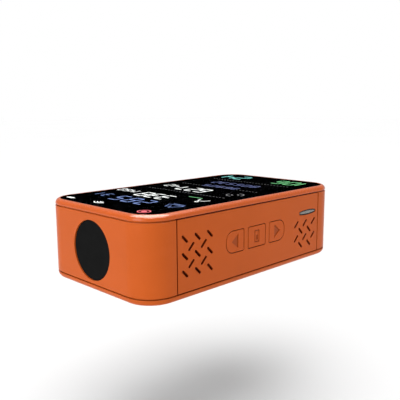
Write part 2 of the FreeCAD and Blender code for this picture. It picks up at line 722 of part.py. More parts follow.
def seal_seats():
    """The rebates in the top and bottom edges that take the seals."""
    half, radius = inset_outline(s.seal_inset)
    lower, upper = new_body("lower_rebate"), new_body("upper_rebate")
    prism(lower, "XY", half, radius, 0.0, s.base_height + s.seal_height)
    prism(upper, "XY", half, radius, rim_bottom - s.seal_height, s.body_height)
    clear_half, clear_radius = inset_outline(s.shell_wall)
    halfway = s.body_height / 2
    for body, low, high in ((lower, -OVERCUT, halfway), (upper, halfway, s.body_height)):
        prism(body, "XY", clear_half, clear_radius, low, high, remove=True)
    return [lower, upper]


def side_windows():
    """Openings in the front wall behind the keys, the grilles and the status light."""
    low, high = front, wall_back + OVERCUT
    clear = s.key_flange + s.key_window_play
    reach = s.side_key_outer + clear
    rise = key_half_height + clear
    keys = block("key_window", (-reach, reach), (low, high), (s.key_level - rise, s.key_level + rise))
    light = block(
        "light_window",
        (s.light_place - s.light_half_length, s.light_place + s.light_half_length),
        (low, high),
        (s.light_level - s.light_half_height, s.light_level + s.light_half_height),
    )
    sound = [
        rod(f"{name}_sound_window", "Y", radius - OVERCUT, low, high, (s.grille_place * side, level))
        for name, side, radius, level in speaker_places()
    ]
    return [keys, light, *sound]


def end_seats():
    """The seat of the end window and, at the other end, the recess of the port flap."""
    level = (0.0, s.window_level)
    seat = rod("window_seat", "X", s.window_radius, -half_length - OVERCUT, window_floor, level)
    bore = rod("window_bore", "X", s.window_bore, -half_length, s.shell_wall - half_length + OVERCUT, level)
    recess = new_body("flap_recess")
    half = (s.port_half_width + s.recess_play, s.port_half_height + s.recess_play)
    mouth = tuple(size + s.plug_play for size in plug_half_size())
    at = (0.0, port_level)
    prism(recess, "YZ", half, half[1] - s.short_side, flap_back - s.loose_fit, half_length + OVERCUT, at)
    prism(recess, "YZ", mouth, mouth[1] - s.short_side, half_length - s.shell_wall * 1.5, half_length, at)
    rise = hinge_half_height + s.barrel_play
    barrel = block(
        "barrel_recess",
        (flap_back - s.loose_fit * 2, half_length + OVERCUT),
        (s.port_half_width - s.web_inset, s.hinge_across + s.hinge_radius + s.recess_play),
        (port_level - rise, port_level + rise),
    )
    ends = (port_level - hinge_half_height - OVERCUT, port_level + hinge_half_height + OVERCUT)
    pin = rod("pin_hole", "Z", s.hinge_pin_radius + s.pin_fit, *ends, hinge_centre())
    nail_centre = (half_length + s.nail_out, -s.port_half_width - s.nail_aside)
    nail_level = (port_level - s.nail_half_height, port_level + s.nail_half_height)
    nail = rod("nail_notch", "Z", s.nail_radius, *nail_level, nail_centre)
    return [seat, bore, recess, barrel, pin, nail]


def make_top_bezel():
    """The orange rim with its ledge for the glass and a skirt that locates it in the housing."""
    rim = slab("rim", 0.0, rim_bottom, rim_top)
    soften(rim, s.rim_round, "Z", rim_top)
    soften(rim, s.edge_softness, "Z", rim_bottom)
    for inset, low in ((s.ledge_inset, rim_bottom - OVERCUT), (s.glass_inset - s.loose_fit, tape_bottom)):
        half, radius = inset_outline(inset)
        prism(rim, "XY", half, radius, low, rim_top, remove=True)
    skirt = ring("skirt", s.skirt_inset, s.ledge_inset, carrier_top + s.loose_fit, rim_bottom + s.skirt_root)
    piece("top_bezel", fuse("bezel", rim, skirt))


def make_seals():
    inner = s.seal_inset + s.seal_width
    low, high = s.base_height, s.base_height + s.seal_height
    piece("bottom_seal", ring("lower_seal", s.seal_inset, inner, low, high))
    piece("top_seal", ring("upper_seal", s.seal_inset, inner, rim_bottom - s.seal_height, rim_bottom))


def panel_plate(name, side):
    """A side panel with the stepped edges that form the seams above and below it."""
    plate = new_body(name)
    outer = half_width * side
    step = (half_width - s.seam_depth) * side
    inner = (half_width - s.panel_thickness) * side
    face = (outer, step) if side < 0 else (step, outer)
    back = (step, inner) if side < 0 else (inner, step)
    centre = (0.0, (band_top + band_bottom) / 2)
    half_face = (s.panel_half_length, (band_top - band_bottom) / 2)
    half_back = (s.panel_half_length, (tongue_top - tongue_bottom) / 2)
    prism(plate, "XZ", half_face, s.edge_softness, *face, centre)
    soften(plate, s.edge_softness * 0.75, "Y", outer)
    prism(plate, "XZ", half_back, s.edge_softness, *back, centre)
    return plate


def key_outline(side, grow):
    """Half size, corner radii and centre of a key's outline, grown all round."""
    half_height = key_half_height + grow
    if side == 0:
        return (middle_key_half + grow, half_height), s.key_corner + grow, (0.0, s.key_level)
    small, large = s.key_corner + grow, s.side_key_round + grow
    radii = (large, small) if side < 0 else (small, large)
    return (side_key_half + grow, half_height), radii, (side_key_centre * side, s.key_level)


def make_panels():
    """The front panel with its key openings, grilles and light opening, and the plain rear one."""
    plate = panel_plate("front_plate", -1)
    for _, side in KEYS:
        half, radii, centre = key_outline(side, s.key_gap)
        prism(plate, "XZ", half, radii, front, panel_back + OVERCUT, centre, remove=True)
    cutters = grille_cutters(-1, s.left_grille_level, (-1, 0, 1), (-0.5, 0.5))
    cutters += grille_cutters(1, s.right_grille_level, (0, 1), (-0.5, 0.5))
    cutters.append(boat("light_opening", 0.0, front - OVERCUT, panel_back + OVERCUT))
    cutters += [
        block(f"{name}_mesh_seat", *mesh_box(side, level, rise, s.mesh_play, OVERCUT))
        for name, side, level, rise in mesh_places()
    ]
    piece("key_panel", cut("pierced_panel", plate, *cutters))
    piece("rear_panel", panel_plate("rear_plate", 1))


def mesh_places():
    """Name, side, centre height and half height of each dust mesh."""
    return (
        ("left", -1, s.left_grille_level, s.mesh_half_width),
        ("right", 1, right_sound_level, s.mesh_half_width - s.right_mesh_less),
    )


def mesh_box(side, level, rise, grow, deeper):
    """The three spans of a dust mesh, grown sideways and inwards."""
    centre, reach = s.grille_place * side, s.mesh_half_width + grow
    return (
        (centre - reach, centre + reach),
        (panel_back - s.mesh_thickness, panel_back + deeper),
        (level - rise - grow, level + rise + grow),
    )


def make_meshes():
    for name, side, level, rise in mesh_places():
        piece(f"{name}_grille_mesh", block(f"{name}_mesh", *mesh_box(side, level, rise, 0.0, 0.0)))


# Keys


def make_keys():
    """Each key is a cap with a flange that the panel traps and a stem that works a switch."""
    for name, side in KEYS:
        cap = new_body(f"{name}_cap")
        half, radii, centre = key_outline(side, 0.0)
        prism(cap, "XZ", half, radii, front, flange_front, centre)
        soften(cap, s.edge_softness, "Y", front)
        half, radii, centre = key_outline(side, s.key_flange)
        prism(cap, "XZ", half, radii, flange_front, flange_back, centre)
        if side:
            base = side_key_centre * side - s.arrow_length * (side * 0.45)
            sketch = new_sketch(cap, "XZ", front, (base, s.key_level))
            draw_triangle(sketch, s.arrow_length, s.arrow_base, side)
            extrude(cap, sketch, s.icon_depth, True)
        stem = rod(f"{name}_stem", "Y", s.key_stem_radius, flange_front, stem_back, centre)
        key = fuse(f"{name}_cap_with_stem", cap, stem)
        piece(f"{name}_key", key if side else cut("marked_cap", key, *level_icon()))
        plunger_back = switch_front + s.plunger_radius
        plunger = rod(f"{name}_plunger", "Y", s.plunger_radius, stem_back, plunger_back, centre)
        piece(f"{name}_switch_stem", plunger)


def level_icon():
    """The sunk icon of the middle key: an upright frame with a bar in its lower part."""
    depth = (front - OVERCUT, front + s.icon_depth)
    reach, rise = s.frame_width / 2, s.frame_height / 2
    frame = block("icon_frame", (-reach, reach), depth, (s.key_level - rise, s.key_level + rise))
    reach, rise = reach - s.frame_stroke, rise - s.frame_stroke
    inside = block(
        "icon_inside",
        (-reach, reach),
        (front - 2 * OVERCUT, front + OVERCUT),
        (s.key_level - rise, s.key_level + rise),
    )
    reach = s.level_bar_width / 2
    level = (s.key_level - s.level_bar_low, s.key_level + s.level_bar_high)
    bar = block("icon_bar", (-reach, reach), depth, level)
    return [cut("icon_outline", frame, inside), bar]


def key_centres():
    return [(side_key_centre * side, s.key_level) for _, side in KEYS]


def make_key_electrics():
    """Rubber seal, switches, board and screws behind the keys, and the lead to the main board."""
    reach = s.post_place - s.post_radius - s.seal_gap
    rise = s.key_board_half_height - s.seal_web
    web = block(
        "seal_web",
        (-reach, reach),
        (wall_back, wall_back + s.seal_web),
        (s.key_level - rise, s.key_level + rise),
    )
    half = s.switch_size / 2
    collar_back = wall_back + s.seal_web + s.collar_height
    well_floor = switch_front + s.plunger_well
    collars, holes, switches = [], [], []
    for x, z in key_centres():
        centre = (x, z)
        collars.append(rod("collar", "Y", s.collar_radius, wall_back, collar_back, centre))
        holes.append(rod("stem_hole", "Y", s.key_stem_radius + s.stem_play, front, stem_back, centre))
        case = block("switch", (x - half, x + half), (switch_front, switch_back), (z - half, z + half))
        well = rod("well", "Y", s.plunger_radius + s.plunger_play, front, well_floor, centre)
        switches.append(cut("switch_case", case, well))
    piece("key_seal", cut("pierced_seal", fuse("seal", web, *collars), *holes))
    piece("key_switches", group("switches", *switches))
    board = block(
        "key_board_blank",
        (-s.key_board_half_length, s.key_board_half_length),
        (switch_back, key_board_back),
        (s.key_level - s.key_board_half_height, s.key_level + s.key_board_half_height),
    )
    hole_radius = s.small_shank_radius + s.hole_play
    board_holes = [rod("board_hole", "Y", hole_radius, front, 0.0, at) for at in post_places()]
    piece("key_board", cut("drilled_key_board", board, *board_holes))
    head = (s.small_head_radius, key_board_back, key_board_back + s.small_head_height)
    shank = (s.small_shank_radius, switch_back - s.small_grip, key_board_back + s.small_head_height / 2)
    screws = [screw("key_screw", "Y", head, shank, at) for at in post_places()]
    piece("key_board_screws", group("key_screws", *screws))
    rise_back = key_board_back + s.ribbon_thickness
    along = (-s.key_lead_half_width, s.key_lead_half_width)
    lap = (key_board_back, s.board_front + s.key_lead_foot)
    level = (s.key_level + s.key_lead_start, board_bottom)
    lead = fuse(
        "key_lead",
        block("lead_rise", along, (key_board_back, rise_back), level),
        block("lead_foot", along, lap, (board_bottom - s.ribbon_thickness, board_bottom)),
    )
    piece("key_ribbon", lead)


# Sound


def speaker_places():
    """Name, side, radius and height of the two loudspeakers."""
    return (
        ("left", -1, s.left_speaker_radius, s.left_grille_level),
        ("right", 1, s.right_speaker_radius, right_sound_level),
    )


def make_speakers():
    """Two small loudspeakers, each a basket pressed on the front wall, a magnet and a cone."""
    for name, side, radius, level in speaker_places():
        at = (s.grille_place * side, level)
        rear = wall_back + s.speaker_depth
        well_floor = rear - s.speaker_back
        magnet_radius = radius * s.magnet_share
        basket = cut(
            f"{name}_basket",
            rod(f"{name}_basket_blank", "Y", radius, wall_back, rear, at),
            rod(f"{name}_basket_well", "Y", radius - s.speaker_wall, front, well_floor, at),
            rod(f"{name}_magnet_hole", "Y", magnet_radius, front, 0.0, at),
        )
        piece(f"{name}_speaker_basket", basket)
        magnet = rod(f"{name}_magnet", "Y", magnet_radius, well_floor, rear + s.magnet_depth, at)
        piece(f"{name}_speaker_magnet", magnet)
        low, high = wall_back + s.speaker_wall / 2, well_floor - s.cone_gap
        ends = (radius - s.speaker_wall, radius * s.cone_share)
        outside, inside = (
            cone(f"{name}_cone_{part}", "Y", *ends, low - drop, high - drop, at)
            for part, drop in (("outside", 0.0), ("inside", s.cone_thickness))
        )
        piece(f"{name}_speaker_cone", cut(f"{name}_cone", outside, inside))


# Status light and end window


def make_status_light():
    """A clear convex lens in a black surround, lit by two diodes at the edge of the main board."""
    low, high = front + s.surround_sunk, panel_back - s.loose_fit * 2
    surround = cut(
        "surround",
        boat("surround_outside", 0.0, low, high),
        boat("surround_inside", s.surround_wall, low - OVERCUT, high + OVERCUT),
    )
    piece("status_surround", surround)
    face = boat("lens_face", s.surround_wall, front + s.lens_sunk, panel_back + s.lens_back)
    reach = s.light_half_length - s.pipe_inset
    board_face = s.board_front - s.light_board_thickness
    diode_face = board_face - s.diode_depth
    pipe = block(
        "light_pipe",
        (s.light_place - reach, s.light_place + reach),
        (panel_back + s.loose_fit * 2, diode_face - s.diode_gap),
        (s.light_level - s.pipe_half_height, s.light_level + s.pipe_half_height),
    )
    piece("status_lens", fuse("lens", face, pipe))
    board = block(
        "light_board",
        (s.light_place - s.light_board_half_length, s.light_place + s.light_board_half_length),
        (board_face, s.board_front),
        (s.light_level - s.light_board_drop, board_top),
    )
    level = (s.light_level - s.diode_half_height, s.light_level + s.diode_half_height)
    diodes = []
    for way in (-1, 1):
        x = s.light_place + s.diode_place * way
        along = (x - s.diode_half_length, x + s.diode_half_length)
        diodes.append(block("diode", along, (diode_face, board_face), level))
    piece("status_board", group("status_lamp", board, *diodes))


def make_end_window():
    """The dark round window, its seal, and the signal lamp behind it."""
    at = (0.0, s.window_level)
    disc_radius = s.window_radius - s.window_play
    piece("end_window", rod("window_disc", "X", disc_radius, window_front, window_back, at))
    inner = s.window_bore + s.window_play
    seal = tube("window_ring", "X", disc_radius, inner, window_back, window_floor, at)
    piece("window_seal", seal)
    outer = s.window_bore - s.lamp_play
    wall = s.shell_wall - half_length
    blank = fuse(
        "reflector_blank",
        rod("reflector_cup", "X", outer, lamp_front, lamp_back, at),
        rod("reflector_flange", "X", s.lamp_flange_radius, wall, wall + s.lamp_flange, at),
    )
    ends = (outer - s.reflector_wall, s.reflector_throat)
    bowl = cone("reflector_bowl", "X", *ends, lamp_front, lamp_back, at)
    piece("lamp_reflector", cut("reflector", blank, bowl))
    board = rod("lamp_disc", "X", outer, lamp_back, lamp_back + s.board_thickness, at)
    half = s.lamp_diode_half
    level = (s.window_level - half, s.window_level + half)
    diode = block("lamp_diode", (lamp_back - s.lamp_diode_depth, lamp_back), (-half, half), level)
    piece("lamp_board", group("lamp", board, diode))


# Display


def make_display():
    """Cover glass, its adhesive, the display laminate, its tray and its ribbon."""
    glass = slab("glass", s.glass_inset, glass_bottom, s.body_height)
    soften(glass, s.edge_softness, "Z", s.body_height)
    piece("cover_glass", glass)
    insets = (s.glass_inset + s.tape_inset, s.ledge_inset + s.tape_inset)
    piece("glass_tape", ring("tape", *insets, tape_bottom, glass_bottom))
    half = (half_length - s.screen_inset, half_width - s.screen_inset)
    screen = prism(new_body("laminate"), "XY", half, s.screen_corner, screen_bottom, glass_bottom)
    piece("display_panel", screen)
    tray = prism(new_body("tray"), "XY", half, s.screen_corner, tray_bottom, screen_bottom)
    inner = (half[0] - s.tray_wall, half[1] - s.tray_wall)
    floor = tray_bottom + s.tray_floor
    prism(tray, "XY", inner, s.screen_corner - s.tray_wall, floor, screen_bottom, remove=True)
    piece("display_tray", tray)
    left, right = -s.board_half_length - s.ribbon_out, -s.board_half_length + s.ribbon_foot
    across, sheet_depth = (s.ribbon_near, s.ribbon_far), s.ribbon_thickness
    ribbon = fuse(
        "ribbon",
        block("ribbon_top", (left, left + s.ribbon_lap), across, (tray_bottom - sheet_depth, tray_bottom)),
        block("ribbon_drop", (left, left + sheet_depth), across, (board_top, tray_bottom)),
        block("ribbon_foot", (left, right), across, (board_top, board_top + sheet_depth)),
    )
    piece("display_ribbon", ribbon)


def make_carrier():
    """The plate screwed to the corner bosses, with standoffs for the main board."""
    low, high = carrier_bottom - OVERCUT, carrier_top + OVERCUT
    plate = slab("carrier_plate", s.shell_wall + s.carrier_gap, carrier_bottom, carrier_top)
    half = (s.carrier_window_half_length, s.carrier_window_half_width)
    for way in (-1, 1):
        centre = (s.carrier_window_place * way, 0.0)
        prism(plate, "XY", half, s.carrier_window_corner, low, carrier_top, centre, remove=True)
    standoffs = [
        rod("standoff", "Z", s.standoff_radius, board_top, carrier_bottom + s.post_root, at)
        for at in board_screw_places()
    ]
    pilot = s.small_shank_radius + s.loose_fit
    ceiling = carrier_top - s.pilot_floor
    cutters = [rod("pilot", "Z", pilot, 0.0, ceiling, at) for at in board_screw_places()]
    left = -s.board_half_length - s.ribbon_out
    along = (left - s.ribbon_play, left + s.ribbon_play)
    across = (s.ribbon_near - s.ribbon_play, s.ribbon_far + s.ribbon_play)
    cutters.append(block("ribbon_slot", along, across, (low, high)))
    head = (s.small_head_radius, carrier_top - s.small_head_height, carrier_top)
    sink = s.small_head_radius + s.sink_play
    cutters += at_corners(lambda at: rod("plate_hole", "Z", pilot + s.hole_play, low, high, at))
    cutters += at_corners(lambda at: rod("plate_sink", "Z", sink, head[1], high, at))
    piece("display_carrier", cut("carrier", fuse("carrier_blank", plate, *standoffs), *cutters))
    shank = (s.small_shank_radius, carrier_bottom - s.small_grip, carrier_top - s.post_root)
    screws = at_corners(lambda at: screw("carrier_screw", "Z", head, shank, at))
    piece("carrier_screws", group("carrier_screw_set", *screws))


# Electronics


def board_screw_places():
    along = (-s.board_screw_along, s.board_screw_along)
    return [(x, y) for x in along for y in (s.board_screw_front, s.board_screw_rear)]


def flat_blocks(name, places, low, high):
    """Rectangles on a board, each given by its centre, length and width."""
    return [
        block(name, (x - length / 2, x + length / 2), (y - width / 2, y + width / 2), (low, high))
        for x, y, length, width in places
    ]


def make_main_board():
    """The main board with a tongue that carries the charge socket, its cans, chips and screws."""
    level = (board_bottom, board_top)
    along, across = (-s.board_half_length, s.board_half_length), (s.board_front, s.board_rear)
    tongue_along = (s.board_half_length - s.board_tongue_root, half_length - s.shell_wall - s.board_end_play)
    tongue_across = (-s.board_tongue_reach, s.board_tongue_reach)
    board = fuse(
        "board_outline",
        block("board_field", along, across, level),
        block("board_tongue", tongue_along, tongue_across, level),
    )
    hole_radius = s.small_shank_radius + s.hole_play
    holes = [rod("board_hole", "Z", hole_radius, 0.0, s.body_height, at) for at in board_screw_places()]
    piece("main_board", cut("drilled_board", board, *holes))
    cans = ((-24.0, 12.0, 20.0, 16.0), (4.0, 12.0, 22.0, 16.0), (20.0, -10.0, 16.0, 12.0))
    can_top = board_top + s.can_height
    piece("shield_cans", group("cans", *flat_blocks("can", cans, board_top, can_top)))
    chips = (
        (-30.0, -8.0, 9.0, 9.0),
        (-12.0, 20.0, 7.0, 7.0),
        (12.0, 20.0, 6.0, 6.0),
        (34.0, 0.0, 5.0, 5.0),
    )
    chip_face = board_bottom - s.chip_height
    piece("board_chips", group("chips", *flat_blocks("chip", chips, chip_face, board_bottom)))
    head = (s.small_head_radius, board_bottom - s.small_head_height, board_bottom)
    shank = (s.small_shank_radius, board_bottom - s.post_root, carrier_bottom + s.board_screw_tip)
    screws = [screw("board_screw", "Z", head, shank, at) for at in board_screw_places()]
    piece("board_screws", group("board_screw_set", *screws))


def make_battery():
    """The rechargeable pack on the back cover, and the flat lead from it to the main board."""
    centre = (s.battery_along, s.battery_across)
    half = (s.battery_half_length, s.battery_half_width)
    pack = prism(new_body("pack"), "XY", half, s.battery_corner, s.base_height, s.battery_top, centre)
    piece("battery_pack", soften(pack, s.battery_softness, "Z", s.battery_top))
    rear = s.battery_half_width + centre[1] + s.battery_lead_out
    along, sheet_depth = (s.battery_lead_near, s.battery_lead_far), s.ribbon_thickness
    lap = (rear - s.battery_lead_lap, rear)
    lead = fuse(
        "battery_strip",
        block("strip_low", along, lap, (s.battery_top, s.battery_top + sheet_depth)),
        block("strip_rise", along, (rear - sheet_depth, rear), (s.battery_top, board_bottom)),
    )
    piece("battery_lead", lead)


def antenna_places():
    """Name, axis, ends and centre of each ferrite rod, and half the length of its winding."""
    return (
        ("long", "X", -40.0, 40.0, (22.5, 9.0), 22.0),
        ("cross", "Y", -17.0, 17.0, (45.6, 8.5), 9.0),
        ("vertical", "Z", s.base_height, 20.0, (-33.0, 3.0), 6.0),
    )


def make_antennas():
    """Three ferrite antennas at right angles, and the saddles that hold them on the back."""
    for name, axis, low, high, centre, reach in antenna_places():
        middle = (as_size(low) + high) / 2
        piece(f"{name}_antenna_core", rod(f"{name}_ferrite", axis, s.ferrite_radius, low, high, centre))
        ends = (middle - reach, middle + reach)
        winding = tube(f"{name}_winding", axis, s.coil_radius, s.ferrite_radius, *ends, centre)
        piece(f"{name}_antenna_coil", winding)
    (_, _, _, _, long_centre, _), (_, _, _, _, cross_centre, _), upright = antenna_places()
    half_thick, half_wide = s.saddle_half_thickness, s.ferrite_radius + s.saddle_wall
    saddles = []
    for way in (-1, 1):
        x, y = s.long_saddle_place * way, s.cross_saddle_place * way
        (across, long_level), (along, cross_level) = long_centre, cross_centre
        long_block = block(
            "long_saddle",
            (x - half_thick, x + half_thick),
            (across - half_wide, across + half_wide),
            (s.base_height, long_level - s.saddle_drop),
        )
        cross_block = block(
            "cross_saddle",
            (along - half_wide, along + half_wide),
            (y - half_thick, y + half_thick),
            (s.base_height, cross_level - s.saddle_drop),
        )
        long_bore = rod("long_bore", "X", s.ferrite_radius, x - OVERCUT * 3, x + OVERCUT * 3, long_centre)
        cross_bore = rod("cross_bore", "Y", s.ferrite_radius, y - OVERCUT * 3, y + OVERCUT * 3, cross_centre)
        saddles += [cut("long_cradle", long_block, long_bore), cut("cross_cradle", cross_block, cross_bore)]
    collar = (s.ferrite_radius + s.upright_collar_wall, s.ferrite_radius)
    level = (s.base_height, s.base_height + s.upright_collar_height)
    saddles.append(tube("upright_cradle", "Z", *collar, *level, upright[4]))
    piece("antenna_saddles", group("saddles", *saddles))


def make_vibration_motor():
    """The flat motor that shakes the case when a search begins."""
    level = (s.base_height, s.base_height + s.motor_height)
    at = (s.motor_along, s.motor_across)
    piece("vibration_motor", rod("motor", "Z", s.motor_radius, *level, at))


# Charge port


def hinge_centre():
    return (half_length - s.hinge_radius, s.hinge_across)


def plug_half_size():
    """Half width and half height of the plug that the flap pushes into the mouth of the port."""
    return (s.socket_half_width + s.plug_lip_across, s.socket_half_height + s.plug_lip_up)


def make_charge_port():
    """The socket on the board's tongue, and the rubber flap that turns on a pin to cover it."""
    at = (0.0, port_level)
    mouth = half_length - s.shell_wall + s.socket_reach
    back = mouth - s.socket_length
    half = (s.socket_half_width, s.socket_half_height)
    inside = (half[0] - s.socket_wall, half[1] - s.socket_wall)
    shell = new_body("socket_shell")
    floor = back + s.socket_back
    prism(shell, "YZ", half, half[1] - s.short_side, back, mouth, at)
    prism(shell, "YZ", inside, inside[1] - s.short_side, floor, mouth, at, remove=True)
    piece("charge_socket", shell)
    across = (-s.socket_tongue_reach, s.socket_tongue_reach)
    level = (port_level - s.socket_tongue_half, port_level + s.socket_tongue_half)
    piece("socket_tongue", block("tongue", (floor, mouth - s.socket_tongue_sunk), across, level))
    cap = new_body("flap_cap")
    face = (s.port_half_width, s.port_half_height)
    plug = plug_half_size()
    prism(cap, "YZ", face, face[1] - s.short_side, flap_back, half_length, at)
    soften(cap, s.edge_softness, "X", half_length)
    prism(cap, "YZ", plug, plug[1] - s.short_side, flap_back - s.plug_depth, flap_back, at)
    level = (port_level - hinge_half_height, port_level + hinge_half_height)
    inner = s.port_half_width - s.web_inset
    depth = (flap_back + s.web_thinner, half_length - s.web_thinner)
    web = block("flap_web", depth, (inner, s.hinge_across), level)
    barrel = rod("flap_barrel", "Z", s.hinge_radius, *level, hinge_centre())
    ends = (level[0] - OVERCUT, level[1] + OVERCUT)
    hole = rod("flap_hole", "Z", s.hinge_pin_radius + s.pin_play, *ends, hinge_centre())
    piece("port_flap", cut("flap", fuse("flap_blank", cap, web, barrel), hole))
    piece("flap_pin", rod("hinge_pin", "Z", s.hinge_pin_radius, *ends, hinge_centre()))


# Fasteners


def make_cover_fasteners():
    """Socket-head screws through the back, and the brass inserts that they turn into."""
    seat = s.cover_head_sunk + s.cover_head_height
    head = (s.cover_head_radius, s.cover_head_sunk, seat)
    hex_end = seat - s.hex_floor
    shank = (s.cover_shank_radius, hex_end, insert_top - s.shank_short)

    def socket_screw(at):
        socket = doc.addObject("Part::Prism", "hex_socket")
        socket.Polygon = 6
        bind(socket, "Circumradius", s.hex_radius)
        bind(socket, "Height", hex_end)
        place(socket, *at, 0.0)
        return cut("socket_screw", screw("cover_screw", "Z", head, shank, at), socket)

    piece("cover_screws", group("cover_screw_set", *at_corners(socket_screw)))
    bore = s.cover_shank_radius + s.loose_fit
    inserts = at_corners(
        lambda at: tube("insert", "Z", s.insert_radius, bore, tongue_bottom, insert_top, at)
    )
    piece("threaded_inserts", group("insert_set", *inserts))


def check_document():
    """Stops on any failed object or bad shape, because a recompute only marks them."""
    failed = [
        thing.Name
        for thing in doc.Objects
        if any(word in state for state in thing.State for word in ("Invalid", "Error"))
    ]
    if failed:
        raise RuntimeError(f"failed objects: {failed}")
    for thing in pieces:
        if thing.Shape.isNull() or not thing.Shape.isValid() or not thing.Shape.Solids:
            raise RuntimeError(f"{thing.Label} has no valid solid")


def export_pieces():
    os.makedirs("parts", exist_ok=True)
    for thing in pieces:
        thing.Shape.exportStep(os.path.join("parts", f"{thing.Label}.step"))
        print(f"{thing.Label}: {len(thing.Shape.Solids)} solids, {thing.Shape.Volume:.1f} mm3")


for make in (
    make_bottom_cover,
    make_main_housing,
    make_top_bezel,
    make_seals,
    make_panels,
    make_meshes,
    make_keys,
    make_key_electrics,
    make_speakers,
    make_status_light,
    make_end_window,
    make_display,
    make_carrier,
    make_main_board,
    make_battery,
    make_antennas,
    make_vibration_motor,
    make_charge_port,
    make_cover_fasteners,
):
    make()
doc.recompute()
check_document()
export_pieces()
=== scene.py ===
"""Avalanche transceiver: the finished pieces of a pocket radio beacon, built round its frame.

The case lies on its flat back. +Z points out of the display, the round window looks along -X,
and the keys face -Y. Shapes are worked out in millimetres and become metres when a piece is
finished, so the properties below, which are kept in metres, are read through millimetres().
"""

import math
from types import SimpleNamespace

import bmesh
import bpy
from bpy.props import FloatProperty, FloatVectorProperty, IntProperty, PointerProperty
from mathutils import Matrix, Vector


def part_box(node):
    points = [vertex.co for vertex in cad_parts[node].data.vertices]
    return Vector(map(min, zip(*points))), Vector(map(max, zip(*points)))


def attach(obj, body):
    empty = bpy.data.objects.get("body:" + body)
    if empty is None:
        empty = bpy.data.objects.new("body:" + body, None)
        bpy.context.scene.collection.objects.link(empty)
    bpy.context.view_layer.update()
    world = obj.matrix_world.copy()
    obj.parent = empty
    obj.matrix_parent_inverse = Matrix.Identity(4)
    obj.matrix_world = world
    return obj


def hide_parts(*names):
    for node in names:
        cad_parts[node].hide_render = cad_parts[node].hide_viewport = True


bl_info = {
    "name": "Avalanche Transceiver",
    "version": (1, 0, 0),
    "blender": (4, 5, 0),
    "location": "3D View > Sidebar > Transceiver",
    "description": "Builds the case, keys, display and finishes of a pocket avalanche transceiver",
    "category": "Object",
}

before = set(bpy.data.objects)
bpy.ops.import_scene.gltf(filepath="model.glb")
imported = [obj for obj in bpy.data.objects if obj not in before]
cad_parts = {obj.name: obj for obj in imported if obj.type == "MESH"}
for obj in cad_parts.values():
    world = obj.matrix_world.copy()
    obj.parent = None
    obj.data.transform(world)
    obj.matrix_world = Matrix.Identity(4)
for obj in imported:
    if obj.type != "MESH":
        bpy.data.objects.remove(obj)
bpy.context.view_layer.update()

MM = 0.001
CASE = "case"
KEYS = ("left_key", "mode_key", "right_key")
# How far a cutter stands out of a face, and how far the parts of one moulding run into each other.
OVERCUT = 1.0
OVERLAP = 0.3
# Points on the corners of the case and on smaller roundings.
CORNER_STEPS = 20
SMALL_STEPS = 8
# Span of a pattern over which a finish changes, and a broader one.
EDGES = (0.3, 0.7)
BROAD = (0.25, 0.75)

# The turn from a flat drawing (u right, v up, w outwards) to each side of the case.
SIDES = {
    "top": Matrix(((1, 0, 0), (0, 1, 0), (0, 0, 1))).to_4x4(),
    "front": Matrix(((1, 0, 0), (0, 0, -1), (0, 1, 0))).to_4x4(),
    "rear": Matrix(((-1, 0, 0), (0, 0, 1), (0, 1, 0))).to_4x4(),
    "left": Matrix(((0, 0, -1), (-1, 0, 0), (0, 1, 0))).to_4x4(),
    "right": Matrix(((0, 0, 1), (1, 0, 0), (0, 1, 0))).to_4x4(),
}


# Properties


def length(name, description, millimetres):
    return FloatProperty(
        name=name, description=description, default=millimetres * MM, unit="LENGTH", precision=5
    )


def colour(name, description, *values):
    return FloatVectorProperty(
        name=name, description=description, default=values, min=0.0, max=1.0, subtype="COLOR"
    )


def millimetres(group):
    """The values of a property group by name, with its lengths in millimetres."""
    values = {}
    for prop in group.bl_rna.properties:
        if prop.identifier in ("rna_type", "name"):
            continue
        value = getattr(group, prop.identifier)
        values[prop.identifier] = value / MM if prop.unit == "LENGTH" else value
    return SimpleNamespace(**values)


class CaseSizes(bpy.types.PropertyGroup):
    corner_radius: length("Corner radius", "Outside corners of the case, seen from above", 11.3)
    loose_fit: length("Loose fit", "Clearance between mouldings that meet", 0.05)
    softness: length("Edge softness", "Rounding of the moulded edges", 0.2)
    seam_gap: length("Seam gap", "Width of the seams between the mouldings", 0.5)
    seam_depth: length("Seam depth", "Depth of the seams between the mouldings", 0.7)
    wall: length("Wall", "Wall of the main housing", 3.6)
    rim_round: length("Rim rounding", "Rounding over the top rim", 1.9)
    base_round: length("Base rounding", "Rounding under the back cover", 2.2)
    glass_inset: length("Glass inset", "Outside face of the case to the edge of the glass", 2.0)
    ledge_inset: length("Ledge inset", "Outside face of the case to the rim's opening", 4.6)
    skirt_inset: length("Skirt inset", "Outside face of the case to the rim's skirt", 3.75)
    tape: length("Tape", "Adhesive under the glass", 0.2)
    rib_thickness: length("Rib thickness", "Locating ribs inside the back cover", 1.5)
    rib_reach: length("Rib reach", "Half length of the long ribs", 38.0)
    short_rib_reach: length("Short rib reach", "Half length of the short ribs", 14.0)


class KeySizes(bpy.types.PropertyGroup):
    gap: length("Gap", "Gap round each key", 0.3)
    flange: length("Flange", "How far a key's flange stands out behind the panel", 0.7)
    flange_front: length("Flange front", "Panel face to the front of the flanges", 1.9)
    flange_thickness: length("Flange thickness", "Flange of a key", 0.8)
    stem_radius: length("Stem radius", "Stem behind each key", 1.5)
    large_corner: length("Large corner", "Outer corners of the side keys", 3.6)
    small_corner: length("Small corner", "All other corners of the keys", 0.5)
    icon_depth: length("Icon depth", "Depth of the sunk icons", 0.35)
    arrow_length: length("Arrow length", "Arrow icons, base to tip", 3.9)
    arrow_base: length("Arrow base", "Arrow icons, across the base", 5.8)
    frame_width: length("Frame width", "Upright frame icon of the middle key", 3.0)
    frame_height: length("Frame height", "Upright frame icon of the middle key", 5.0)
    frame_stroke: length("Frame stroke", "Line of the upright frame icon", 0.45)


